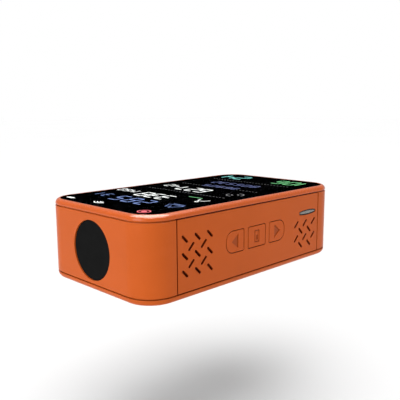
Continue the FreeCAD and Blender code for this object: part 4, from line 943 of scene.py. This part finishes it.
def lit(name, colour, strength):
    """A lit segment: its glow falls off a little between the fine dots of the display."""
    finish = Finish(name, [value * 0.05 for value in colour], 0.4, Emission_Strength=strength)
    bright = [min(1.0, value) for value in colour]
    dim = [value * 0.82 for value in colour]
    glow = finish.mix(finish.between(finish.cells(0.18), 0.2, 0.7), bright, dim)
    finish.graph.links.new(glow, finish.shader.inputs["Emission Color"])
    return finish


FINISHES = {}


def make_finishes():
    """One finish for each material slot of the record, and those of the lit display."""
    c = bpy.context.scene.transceiver_colours
    low, _ = span("key_panel")
    depth = bpy.context.scene.transceiver_keys.icon_depth / MM
    shell, keys, ink, painted_shade = tuple(c.shell), tuple(c.keys), tuple(c.ink), tuple(c.painted_shade)
    made = [
        moulded("shell_orange", shell),
        moulded("rim_orange", tuple(c.rim), 0.24, Specular_IOR_Level=0.4),
        # Painted shade: the front panel turns to the shade colour over the first 0.25 mm behind its face,
        # inside the slots, key openings and seams.
        sink_colour(moulded("pierced_orange", shell), low.y, 0.0, 0.25, painted_shade),
        key_finish("key_orange", keys, ink, low.y, depth),
        rubber("flap_rubber", tuple(c.flap), 0.55),
        rubber("seal_rubber", (0.02, 0.02, 0.022)),
        woven_wire("grille_mesh", tuple(c.mesh)),
        moulded("black_plastic", (0.018, 0.018, 0.019), 0.48, 0.25, 0.008),
        frosted_lens("light_lens", tuple(c.lens)),
        dark_glass("window_black", tuple(c.window)),
        clear_cover("cover_glass"),
        black_film("glass_tape"),
        black_film("display_black"),
        brushed("tray_steel", (0.52, 0.53, 0.54), 0.35, (1.0, 14.0, 14.0)),
        turned_metal("screw_steel", (0.30, 0.30, 0.31), 0.32),
        turned_metal("insert_brass", (0.62, 0.42, 0.14), 0.3),
        printed_board("board_green"),
        brushed("can_steel", (0.60, 0.61, 0.62), 0.28, (14.0, 1.0, 14.0)),
        chip_mould("chip_black"),
        paper_cone("speaker_cone"),
        turned_metal("magnet_steel", (0.45, 0.45, 0.47), 0.25),
        ferrite_rod("ferrite"),
        wound_wire("coil_wire_x", "X"),
        wound_wire("coil_wire_y", "Y"),
        wound_wire("coil_wire_z", "Z"),
        foil_pack("battery_foil"),
        ribbon_film("ribbon_amber"),
        moulded("reflector_white", (0.78, 0.78, 0.76), 0.25, 0.4, 0.004),
    ]
    for name in ("white", "blue", "teal", "green", "red", "slate", "grey"):
        made.append(lit(f"lit_{name}", tuple(getattr(c, name)), c.glow))
    FINISHES.update({finish.name: finish.material for finish in made})


# Pieces


def case_levels():
    """Heights at which the mouldings of the case meet."""
    case = millimetres(bpy.context.scene.transceiver_case)
    low, high = span("main_housing")
    return SimpleNamespace(
        base_top=low.z - case.loose_fit,
        band_low=low.z - case.loose_fit + case.seam_gap,
        band_high=high.z + case.loose_fit - case.seam_gap,
        rim_low=high.z + case.loose_fit,
        rim_high=span("top_bezel")[1].z,
        carrier=span("top_bezel")[0].z,
        tape=span("cover_glass")[0].z - case.tape,
    )


class TRANSCEIVER_OT_finishes(bpy.types.Operator):
    """Make the finishes of every moulding, metal, glass and lit segment"""

    bl_idname = "transceiver.finishes"
    bl_label = "Finishes"

    def execute(self, context):
        make_finishes()
        return {"FINISHED"}


class TRANSCEIVER_OT_rim(bpy.types.Operator):
    """Sweep the rounded top rim, with its glass ledge and skirt, round the case"""

    bl_idname = "transceiver.rim"
    bl_label = "Top rim"

    def execute(self, context):
        case = millimetres(context.scene.transceiver_case)
        level = case_levels()
        low, high = span("top_bezel")
        soft, glass = case.softness, case.glass_inset - case.loose_fit
        outside = arc((-soft, level.rim_low + soft), soft, -90, 0, 4)
        outside += arc((-case.rim_round, level.rim_high - case.rim_round), case.rim_round, 0, 90, 14)
        section = outside + [
            (-glass, level.rim_high),
            (-glass, level.tape),
            (-case.ledge_inset, level.tape),
            (-case.ledge_inset, level.carrier),
            (-case.skirt_inset, level.carrier),
            (-case.skirt_inset, level.rim_low),
        ]
        mesh = lap(section, high.x - low.x, high.y - low.y, case.corner_radius, "rim_orange")
        finish_piece("top_rim", mesh, "rim_orange", ["top_bezel"], slot="shell_orange")
        return {"FINISHED"}


class TRANSCEIVER_OT_back_cover(bpy.types.Operator):
    """Build the back cover with its rounded edge, locating ribs and counterbored screw holes"""

    bl_idname = "transceiver.back_cover"
    bl_label = "Back cover"

    def execute(self, context):
        case = millimetres(context.scene.transceiver_case)
        fit = millimetres(context.scene.transceiver_fittings)
        top = case_levels().base_top
        soft = case.softness / 2
        under = arc((case.base_round, case.base_round), case.base_round, 270, 180, 12)
        levels = under + arc((soft, top - soft), soft, 180, 90, 3)
        cover = stacked(case_outline, levels)
        _, high = span("bottom_cover")
        outer = case.wall + 3 * case.loose_fit
        inner = outer + case.rib_thickness
        floor, long_reach, short_reach = top / 2, case.rib_reach, case.short_rib_reach
        ribs = []
        for way in (-1, 1):
            across = sorted(((high.y - outer) * way, (high.y - inner) * way))
            along = sorted(((high.x - outer) * way, (high.x - inner) * way))
            ribs.append(block((-long_reach, across[0], floor), (long_reach, across[1], high.z)))
            ribs.append(block((along[0], -short_reach, floor), (along[1], short_reach, high.z)))
        screws_low, screws_high = span("cover_screws")
        place = (screws_high.x - fit.head_radius, screws_high.y - fit.head_radius)
        seat = screws_low.z + fit.head_height
        chamfer, head_gap, shank_gap = 0.15, 0.2, 0.15
        sink, hole = fit.head_radius + head_gap, fit.shank_radius + shank_gap
        section = [
            (sink + 2 * chamfer, -2 * chamfer), (sink + chamfer, 0.0), (sink, chamfer),
            (sink, seat), (hole, seat), (hole, top + OVERCUT),
        ]
        sinks = [
            turned(section, "top", (place[0] * along, place[1] * across))
            for along in (-1, 1) for across in (-1, 1)
        ]
        mesh = combine("UNION", cover, *ribs)
        mesh = combine("DIFFERENCE", mesh, joined(sinks))
        finish_piece("back_cover", mesh, "shell_orange", ["bottom_cover"])
        return {"FINISHED"}


def panel_plate(node, side, holes, larger_holes):
    """A side panel: a face plate, and a taller back plate whose edges floor the seams."""
    case = millimetres(bpy.context.scene.transceiver_case)
    level = case_levels()
    low, high = span(node)
    back, face = sorted((abs(low.y), abs(high.y)))
    step = face - case.seam_depth
    centre = (0.0, (level.band_high + level.band_low) / 2)
    half = (high.x - low.x) / 2
    front_half, back_half = (level.band_high - level.band_low) / 2, (high.z - low.z) / 2
    outline = rounded(half, front_half, case.softness, centre, 2)
    front = plate([outline, *holes], face, step - OVERLAP, case.softness * 0.6, side)
    outline = rounded(half - 0.01, back_half, case.softness, centre, 2)
    rear = plate([outline, *larger_holes], step, back, 0.02, side)
    return combine("UNION", front, rear)


def grille_slots(node, side, drop, rows, between_rows, grow):
    """Slots on a square lattice with crossed slots at its half points, mirrored from side to side."""
    grille = millimetres(bpy.context.scene.transceiver_grilles)
    centre = middle(node)
    places = [(column, row, side) for column in (-1, 0, 1) for row in rows]
    places += [(column, row, -side) for column in (-0.5, 0.5) for row in between_rows]
    long, wide, pitch = grille.slot_length + 2 * grow, grille.slot_width + 2 * grow, grille.pitch
    return [
        slot_outline((centre.x + column * pitch, centre.z - drop + row * pitch), long, wide, lean)
        for column, row, lean in places
    ]


def front_holes(grow):
    """All openings of the front panel, grown all round."""
    keys = millimetres(bpy.context.scene.transceiver_keys)
    grille = millimetres(bpy.context.scene.transceiver_grilles)
    holes = [key_outline(node, keys.gap + grow) for node in KEYS]
    holes += grille_slots("left_grille_mesh", -1, 0.0, (-1, 0, 1), (-0.5, 0.5), grow)
    holes += grille_slots("right_grille_mesh", 1, grille.right_drop, (0, 1), (-0.5, 0.5), grow)
    holes.append(boat_outline(-grow))
    return holes


class TRANSCEIVER_OT_panels(bpy.types.Operator):
    """Cut the front panel with its key, sound and light openings, and the plain rear panel"""

    bl_idname = "transceiver.panels"
    bl_label = "Side panels"

    def execute(self, context):
        front = panel_plate("key_panel", "front", front_holes(0.0), front_holes(0.04))
        finish_piece("front_panel", front, "pierced_orange", ["key_panel"], slot="shell_orange")
        rear = panel_plate("rear_panel", "rear", [], [])
        finish_piece("plain_panel", rear, "shell_orange", ["rear_panel"])
        return {"FINISHED"}


def key_icon(node, face):
    """The cutters of a key's sunk icon: an arrow, or an upright frame with a level bar."""
    keys = millimetres(bpy.context.scene.transceiver_keys)
    centre = middle(node)
    if node == "mode_key":
        half_u, half_v, stroke = keys.frame_width / 2, keys.frame_height / 2, keys.frame_stroke
        at, low_at = (centre.x, centre.z), (centre.x, centre.z - half_v * 0.22)
        frame_edge = rounded(half_u, half_v, 0.25, at, 3)
        opening = rounded(half_u - stroke, half_v - stroke, 0.05, at, 2)
        shapes = [[frame_edge, opening], [rounded(half_u * 0.4, half_v * 0.42, 0.1, low_at, 2)]]
    else:
        way = 1 if centre.x > 0 else -1
        base, half = centre.x - 0.45 * keys.arrow_length * way, keys.arrow_base / 2
        tip = base + keys.arrow_length * way
        shapes = [[[(base, centre.z - half), (tip, centre.z), (base, centre.z + half)]]]
    floor = face - keys.icon_depth
    return [plate(shape, face + OVERCUT, floor, 0.0, "front") for shape in shapes]


class TRANSCEIVER_OT_keys(bpy.types.Operator):
    """Build the three flush keys with their sunk icons, flanges and stems"""

    bl_idname = "transceiver.keys"
    bl_label = "Keys"

    def execute(self, context):
        keys = millimetres(context.scene.transceiver_keys)
        soft = context.scene.transceiver_case.softness / MM
        for node in KEYS:
            low, high = span(node)
            centre = (low + high) / 2
            face = -low.y
            flange_face = face - keys.flange_front
            flange_back = flange_face - keys.flange_thickness
            cap = plate([key_outline(node)], face, flange_face - 0.2, soft * 0.7, "front")
            flange = plate([key_outline(node, keys.flange)], flange_face, flange_back, 0.08, "front")
            radius = keys.stem_radius
            section = [(radius - 0.15, -high.y), (radius, 0.15 - high.y), (radius, flange_face - OVERLAP)]
            stem = turned(section, "front", (centre.x, centre.z), 48)
            key = combine("UNION", cap, flange, stem)
            for cutter in key_icon(node, face):
                key = combine("DIFFERENCE", key, cutter)
            finish_piece(f"{node}_cap", key, "key_orange", [node], node)
        return {"FINISHED"}


class TRANSCEIVER_OT_dust_meshes(bpy.types.Operator):
    """Weave the two wire dust meshes behind the sound slots"""

    bl_idname = "transceiver.dust_meshes"
    bl_label = "Dust meshes"

    def execute(self, context):
        grille = millimetres(context.scene.transceiver_grilles)
        tree = weave_tree()
        for side in ("left", "right"):
            node = f"{side}_grille_mesh"
            low, high = span(node)
            mesh = tree.grow(
                empty_mesh(), width=high.x - low.x, height=high.z - low.z, pitch=grille.wire_pitch,
                wire=grille.wire_radius, steps=grille.steps, finish=FINISHES["grille_mesh"],
            )
            mesh.transform(Matrix.Translation(middle(node)) @ SIDES["front"])
            finish_piece(f"{side}_dust_mesh", mesh, "grille_mesh", [node])
        return {"FINISHED"}


class TRANSCEIVER_OT_status_light(bpy.types.Operator):
    """Build the status light: a crowned lens and light pipe in a black surround"""

    bl_idname = "transceiver.status_light"
    bl_label = "Status light"

    def execute(self, context):
        fit = millimetres(context.scene.transceiver_fittings)
        wall = fit.surround_wall
        low, high = span("status_surround")
        outlines = [boat_outline(0.01), boat_outline(wall)]
        ring = plate(outlines, -low.y, -high.y, 0.08, "front")
        finish_piece("light_surround", ring, "black_plastic", ["status_surround"])
        lens_low, lens_high = span("status_lens")
        pipe_half = (lens_high.x - lens_low.x) / 2 - 0.6
        centre = middle("status_surround")
        lens = plate([boat_outline(wall + fit.lens_gap)], -lens_low.y, -high.y + 0.02, 0.1, "front")
        outline = rounded(pipe_half, (lens_high.z - lens_low.z) / 2 - 0.2, 0.3, (centre.x, centre.z), 4)
        pipe = plate([outline], -high.y + 0.5, -lens_high.y, 0.1, "front")
        lens = combine("UNION", lens, pipe)
        finish_piece("light_lens", lens, "light_lens", ["status_lens"])
        return {"FINISHED"}


class TRANSCEIVER_OT_end_window(bpy.types.Operator):
    """Turn the round smoked window with its softened edge"""

    bl_idname = "transceiver.end_window"
    bl_label = "End window"

    def execute(self, context):
        low, high = span("end_window")
        radius = (high.y - low.y) / 2
        soft = context.scene.transceiver_case.softness / MM
        front = [(radius - soft + w, v - low.x - soft) for w, v in arc((0.0, 0.0), soft, 90, 0, 5)]
        section = [(radius * 0.5, -low.x), *front, (radius, 0.1 - high.x), (radius - 0.1, -high.x)]
        disc = turned(section, "left", (0.0, middle("end_window").z), 128)
        finish_piece("smoked_window", disc, "window_black", ["end_window"])
        return {"FINISHED"}


class TRANSCEIVER_OT_glass(bpy.types.Operator):
    """Build the cover glass and the black ink on its underside and its edge"""

    bl_idname = "transceiver.glass"
    bl_label = "Cover glass"

    def execute(self, context):
        case = millimetres(context.scene.transceiver_case)
        display = millimetres(context.scene.transceiver_display)
        low, high = span("cover_glass")
        inset, soft = case.glass_inset, case.softness
        over = arc((inset + soft, high.z - soft), soft, 180, 90, 5)
        levels = [(inset + 0.06, low.z), (inset, low.z + 0.06), *over]
        glass = stacked(case_outline, levels)
        finish_piece("glass_pane", glass, "cover_glass", ["cover_glass"])
        outer, ink = case.glass_inset - case.loose_fit, display.ink
        section = [
            (-outer - ink, low.z - 2 * ink), (-outer - ink, high.z - soft),
            (-outer - 2 * ink, high.z - soft),
            (-outer - 2 * ink, low.z - ink), (-display.print_inner, low.z - ink),
            (-display.print_inner, low.z - 2 * ink),
        ]
        case_low, case_high = span("main_housing")
        size = case_high - case_low
        border = lap(section, size.x, size.y, case.corner_radius, "display_black")
        finish_piece("glass_border", border, "display_black")
        return {"FINISHED"}


# Readouts. A screen place is (right, down) in millimetres from the middle of the display. The
# display is read with the window end up, so right is +Y and down is +X.

STROKES = {
    "a": ((0, 0), (1, 0)), "b": ((1, 0), (1, 0.5)), "c": ((1, 0.5), (1, 1)), "d": ((0, 1), (1, 1)),
    "e": ((0, 0.5), (0, 1)), "f": ((0, 0), (0, 0.5)), "g": ((0, 0.5), (1, 0.5)),
}
DIGITS = {
    "0": "abcdef", "1": "bc", "2": "abged", "3": "abgcd", "4": "fgbc", "5": "afgcd", "6": "afgedc",
    "7": "abc", "8": "abcdefg", "9": "abcdfg", "-": "g",
}

# Colour, stroke, digits, left edge, middle height, digit width, digit height and advance.
READOUTS = (
    ("blue", "bold", "285", -10.4, -37.4, 4.4, 8.6, 8.0),
    ("blue", "fine", "31", 16.6, -36.2, 2.6, 5.2, 4.2),
    ("white", "bold", "338", -7.0, -24.4, 4.4, 8.4, 6.5),
    ("white", "fine", "1450", 14.0, -22.4, 2.1, 4.6, 3.6),
    ("white", "bold", "627", -5.4, -1.4, 4.2, 8.2, 5.7),
    ("white", "fine", "42", 13.8, 0.8, 3.2, 5.0, 5.0),
    ("slate", "fine", "36905", -11.0, 12.6, 2.8, 3.8, 4.4),
    ("slate", "fine", "805532", -13.2, 23.2, 2.8, 5.0, 4.7),
    ("teal", "bold", "24", 9.8, 43.0, 5.2, 9.2, 7.8),
    ("green", "bold", "106", -27.0, 43.2, 4.4, 9.4, 6.8),
)
RULES = (-9.8, 10.7, 32.6)


def digit_lines(text, left, centre_down, width, height, advance, gap):
    """The lit strokes of a row of digits."""
    lines = []
    for number, sign in enumerate(text):
        for stroke in DIGITS[sign]:
            first, last = (
                Vector((left + number * advance + right * width, centre_down + (down - 0.5) * height))
                for right, down in STROKES[stroke]
            )
            along = (last - first).normalized() * gap
            lines.append([first + along, last - along])
    return lines


def dashes(down, reach, dash):
    """A dashed line across the display."""
    count = int(reach / dash)
    return [[(number * dash, down), ((number + 1) * dash, down)] for number in range(-count, count, 2)]


def icon_lines():
    """Small icons as lines: colour and points."""
    icons = [("white", arc((5.4, -47.0), radius, 215, 325, 10)) for radius in (1.2, 2.4, 3.6)]
    for down, half in ((-51.0, 2.0), (-50.4, 2.7), (-49.8, 2.0)):
        icons.append(("white", [(23.2 - half, down), (23.2 + half, down)]))
    icons += [("red", arc((-22.2, -49.6), radius, 0, 360, 24)) for radius in (0.4, 0.9, 2.3)]
    peaks = [(-25.2, -33.4), (-22.6, -38.8), (-21.0, -35.8), (-19.8, -37.8), (-17.4, -33.4), (-25.2, -33.4)]
    icons += [("blue", peaks), ("blue", [(-24.4, -32.0), (-18.2, -32.0)])]
    icons.append(("white", arc((-21.0, -22.8), 0.7, 0, 360, 16)))
    icons.append(("white", [(-23.6, -18.0), (-22.4, -20.8), (-19.6, -20.8), (-18.4, -18.0)]))
    icons.append(("green", [(-17.6, -16.2), (-10.0, -16.2)]))
    for radius in (1.5, 3.6):
        icons += [("grey", arc((-21.0, -0.6), radius, first, first + 110, 10)) for first in (80, 260)]
    return icons


def stroke_curve(lines, level):
    """A drawing whose lines are open splines at one level, in the case's own axes."""
    curve = bpy.data.curves.new("drawing", "CURVE")
    curve.dimensions = "3D"
    for line in lines:
        spline = curve.splines.new("POLY")
        spline.points.add(len(line) - 1)
        for point, (right, down) in zip(spline.points, line):
            point.co = (down, right, level, 1.0)
    return curve


class TRANSCEIVER_OT_display(bpy.types.Operator):
    """Build the dark display, its lit digits and icons, and the faint lines between the rows"""

    bl_idname = "transceiver.display"
    bl_label = "Display"

    def execute(self, context):
        display = millimetres(context.scene.transceiver_display)
        low, high = span("display_panel")
        top = high.z - display.sunk
        half = ((high.x - low.x) / 2, (high.y - low.y) / 2)

        def outline(inset):
            return rounded(half[0] - inset, half[1] - inset, display.corner - inset)

        panel = stacked(outline, [(0.05, low.z), (0.0, low.z + 0.05), (0.0, top - 0.03), (0.03, top)])
        finish_piece("display_face", panel, "display_black", ["display_panel"])
        tree = stroke_tree()
        level = span("cover_glass")[1].z - display.image_depth
        drawings = {}
        for colour_name, stroke, text, *place in READOUTS:
            lines = digit_lines(text, *place, display.segment_gap)
            drawings.setdefault((colour_name, stroke), []).extend(lines)
        for colour_name, line in icon_lines():
            drawings.setdefault((colour_name, "fine"), []).append(line)
        rules = [dashes(down, display.rule_reach, display.dash) for down in RULES]
        drawings["grey", "hair"] = sum(rules, [])
        for (colour_name, stroke), lines in drawings.items():
            finish = f"lit_{colour_name}"
            mesh = tree.grow(
                stroke_curve(lines, level), stroke=getattr(display, stroke),
                depth=display.segment_depth, finish=FINISHES[finish],
            )
            mesh = close_up(mesh, distance=1e-5)
            finish_piece(f"readout_{colour_name}_{stroke}", mesh, finish, slot="display_black")
        return {"FINISHED"}


class TRANSCEIVER_OT_cover_screws(bpy.types.Operator):
    """Set a hex socket screw in each corner of the back"""

    bl_idname = "transceiver.cover_screws"
    bl_label = "Cover screws"

    def execute(self, context):
        fit = millimetres(context.scene.transceiver_fittings)
        low, high = span("cover_screws")
        head, shank = fit.head_radius, fit.shank_radius
        seat = low.z + fit.head_height
        section = [
            (head - 0.22, low.z), (head - 0.08, low.z + 0.06), (head, low.z + 0.2), (head, seat - 0.05),
            (head - 0.05, seat), (shank, seat), (shank, high.z - 0.3), (shank - 0.3, high.z),
        ]
        screw = turned(section, "top", (0.0, 0.0))
        depth = low.z + fit.hex_depth
        socket = turned([(fit.hex_radius, low.z - OVERCUT), (fit.hex_radius, depth)], "top", (0.0, 0.0), 6)
        screw = helper("screw", combine("DIFFERENCE", screw, socket))
        mesh = corner_tree().grow(
            empty_mesh(), along=2 * (high.x - head), across=2 * (high.y - head), part=screw,
            finish=FINISHES["screw_steel"],
        )
        bpy.data.objects.remove(screw)
        finish_piece("socket_screws", mesh, "screw_steel", ["cover_screws"])
        return {"FINISHED"}


class TRANSCEIVER_OT_port_flap(bpy.types.Operator):
    """Mould the rubber flap of the charge port with its plug, barrel and finger ridges"""

    bl_idname = "transceiver.port_flap"
    bl_label = "Port flap"

    def execute(self, context):
        fit = millimetres(context.scene.transceiver_fittings)
        low, high = span("port_flap")
        socket_low, socket_high = span("charge_socket")
        level = (low.z + high.z) / 2
        half_v = (high.z - low.z) / 2
        face, back = high.x, high.x - fit.flap_thickness
        lap_depth, grip_u, grip_v = 0.2, 0.18, 0.12
        cap_edge = rounded(fit.flap_half_width, half_v, half_v - 0.01, (0.0, level))
        cap = plate([cap_edge], face, back, 0.22, "right")
        plug_u = socket_high.y + grip_u
        plug_v = (socket_high.z - socket_low.z) / 2 + grip_v
        plug_edge = rounded(plug_u, plug_v, plug_v - 0.05, (0.0, level))
        plug = plate([plug_edge], back + lap_depth, low.x, 0.1, "right")
        hinge = (high.x - fit.hinge_radius, high.y - fit.hinge_radius)
        reach = half_v - fit.hinge_inset
        web = block(
            (back + lap_depth, fit.flap_half_width - 1.4, level - reach + 0.02),
            (face - lap_depth, hinge[1], level + reach - 0.02),
        )
        radius = fit.hinge_radius
        section = [
            (radius - 0.1, level - reach), (radius, level - reach + 0.1),
            (radius, level + reach - 0.1), (radius - 0.1, level + reach),
        ]
        barrel = turned(section, "top", hinge, 40)
        bore = [(fit.pin_radius, low.z - OVERCUT), (fit.pin_radius, high.z + OVERCUT)]
        flap = combine("UNION", cap, plug, web, barrel)
        flap = combine("DIFFERENCE", flap, turned(bore, "top", hinge, 32))
        grooves = [
            plate([rounded(0.14, 1.7, 0.13, (u, level), 4)], face + OVERCUT, face - 0.18, 0.0, "right")
            for u in (-4.6, -4.0, -3.4)
        ]
        bolt = [(0.35, 1.5), (-0.75, -0.2), (-0.1, -0.2), (-0.35, -1.5), (0.75, 0.25), (0.1, 0.25)]
        mark = plate([[(u + 1.0, v + level) for u, v in bolt]], face + OVERCUT, face - 0.15, 0.0, "right")
        flap = combine("DIFFERENCE", flap, joined([*grooves, mark]))
        finish_piece("rubber_flap", flap, "flap_rubber", ["port_flap"], "port_flap")
        return {"FINISHED"}


class TRANSCEIVER_OT_frame_finishes(bpy.types.Operator):
    """Give every part that is used as it is its own finish"""

    bl_idname = "transceiver.frame_finishes"
    bl_label = "Finishes of the frame"

    def execute(self, context):
        axes = {"long_antenna_coil": "x", "cross_antenna_coil": "y", "vertical_antenna_coil": "z"}
        for name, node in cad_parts.items():
            for holder in node.material_slots:
                title = holder.material.name.split(".")[0]
                if name in axes:
                    title = f"{title}_{axes[name]}"
                holder.material = FINISHES[title]
        return {"FINISHED"}


FLOOR_REACH = 6.0
FLOOR_WHITE = (0.84, 0.84, 0.84)
ABOVE = (0.0, 0.0, 1.0)
BESIDE_WINDOW = (-0.75, -0.05, 0.20)
SIDE_BREADTH = 0.45
GLEAM_BREADTH = 1.4
SENSOR_WIDTH = 36.0
NEAREST_SEEN = 0.005


def add_light(name, kind, place, power, **settings):
    """A light that faces the middle of the case."""
    light = bpy.data.lights.new(name, kind)
    light.energy = power
    for key, value in settings.items():
        setattr(light, key, value)
    thing = helper(name, light)
    thing.location = place
    view = Vector((0.0, 0.0, middle("main_housing").z * MM)) - Vector(place)
    thing.rotation_euler = view.to_track_quat("-Z", "Y").to_euler()
    return thing


def white_room(strength):
    """Plain white all round to look at, and a softer light from every side."""
    world = bpy.data.worlds.new("white_room")
    world.use_nodes = True
    tree = world.node_tree
    path = tree.nodes.new("ShaderNodeLightPath")
    level = tree.nodes.new("ShaderNodeMapRange")
    level.inputs["To Min"].default_value = strength
    level.inputs["To Max"].default_value = 1.0
    back = tree.nodes["Background"]
    back.inputs["Color"].default_value = (1.0, 1.0, 1.0, 1.0)
    tree.links.new(path.outputs["Is Camera Ray"], level.inputs["Value"])
    tree.links.new(level.outputs["Result"], back.inputs["Strength"])
    bpy.context.scene.world = world


class TRANSCEIVER_OT_stage(bpy.types.Operator):
    """Set up the pale floor, the soft lights and the camera"""

    bl_idname = "transceiver.stage"
    bl_label = "Stage"

    def execute(self, context):
        scene = context.scene
        stage = scene.transceiver_stage
        work = bmesh.new()
        corners = [(x * FLOOR_REACH, y * FLOOR_REACH) for x, y in ((-1, -1), (1, -1), (1, 1), (-1, 1))]
        work.faces.new([work.verts.new((x, y, stage.floor_level)) for x, y in corners])
        mesh = bpy.data.meshes.new("pale_floor")
        work.to_mesh(mesh)
        work.free()
        paper = Finish("pale_floor", FLOOR_WHITE, 0.9, Specular_IOR_Level=0.0)
        paper.set_colour(paper.shades(paper.noise(400.0, 2.0), 0.995, 1.005))
        mesh.materials.append(paper.material)
        helper("pale_floor", mesh)
        white_room(stage.sky)
        add_light("overhead", "SUN", ABOVE, stage.overhead, angle=stage.spread)
        add_light("side", "AREA", BESIDE_WINDOW, stage.side, size=SIDE_BREADTH)
        panel = add_light("gleam", "AREA", ABOVE, stage.gleam, size=GLEAM_BREADTH)
        panel.visible_diffuse = False
        panel.visible_transmission = False
        camera = bpy.data.cameras.new("camera")
        camera.lens = stage.lens
        camera.sensor_width = SENSOR_WIDTH
        camera.clip_start = NEAREST_SEEN
        thing = helper("camera", camera)
        thing.location = stage.camera_place
        level = math.cos(stage.tilt)
        along, across = level * math.cos(stage.bearing), level * math.sin(stage.bearing)
        view = Vector((along, across, math.sin(stage.tilt)))
        turn = view.to_track_quat("-Z", "Y") @ Matrix.Rotation(stage.roll, 3, "Z").to_quaternion()
        thing.rotation_mode = "QUATERNION"
        thing.rotation_quaternion = turn
        scene.camera = thing
        scene.view_settings.view_transform = "Standard"
        scene.cycles.diffuse_bounces = 1
        return {"FINISHED"}


OPERATORS = (
    TRANSCEIVER_OT_stage,
    TRANSCEIVER_OT_finishes,
    TRANSCEIVER_OT_rim,
    TRANSCEIVER_OT_back_cover,
    TRANSCEIVER_OT_panels,
    TRANSCEIVER_OT_keys,
    TRANSCEIVER_OT_dust_meshes,
    TRANSCEIVER_OT_status_light,
    TRANSCEIVER_OT_end_window,
    TRANSCEIVER_OT_glass,
    TRANSCEIVER_OT_display,
    TRANSCEIVER_OT_cover_screws,
    TRANSCEIVER_OT_port_flap,
    TRANSCEIVER_OT_frame_finishes,
)


class TRANSCEIVER_PT_build(bpy.types.Panel):
    """The steps of the build, in order, and the sizes they use"""

    bl_idname = "TRANSCEIVER_PT_build"
    bl_label = "Avalanche Transceiver"
    bl_space_type = "VIEW_3D"
    bl_region_type = "UI"
    bl_category = "Transceiver"

    def draw(self, context):
        for operator in OPERATORS:
            self.layout.operator(operator.bl_idname)
        for group in GROUPS:
            box = self.layout.box()
            settings = getattr(context.scene, group)
            for name in type(settings).__annotations__:
                box.prop(settings, name)


def register():
    for group in GROUPS.values():
        bpy.utils.register_class(group)
    for name, group in GROUPS.items():
        setattr(bpy.types.Scene, name, PointerProperty(type=group))
    for operator in OPERATORS:
        bpy.utils.register_class(operator)
    bpy.utils.register_class(TRANSCEIVER_PT_build)


def unregister():
    bpy.utils.unregister_class(TRANSCEIVER_PT_build)
    for operator in reversed(OPERATORS):
        bpy.utils.unregister_class(operator)
    for name in GROUPS:
        delattr(bpy.types.Scene, name)
    for group in GROUPS.values():
        bpy.utils.unregister_class(group)


def main():
    register()
    for operator in OPERATORS:
        family, name = operator.bl_idname.split(".")
        getattr(getattr(bpy.ops, family), name)()


if __name__ == "__main__":
    main()
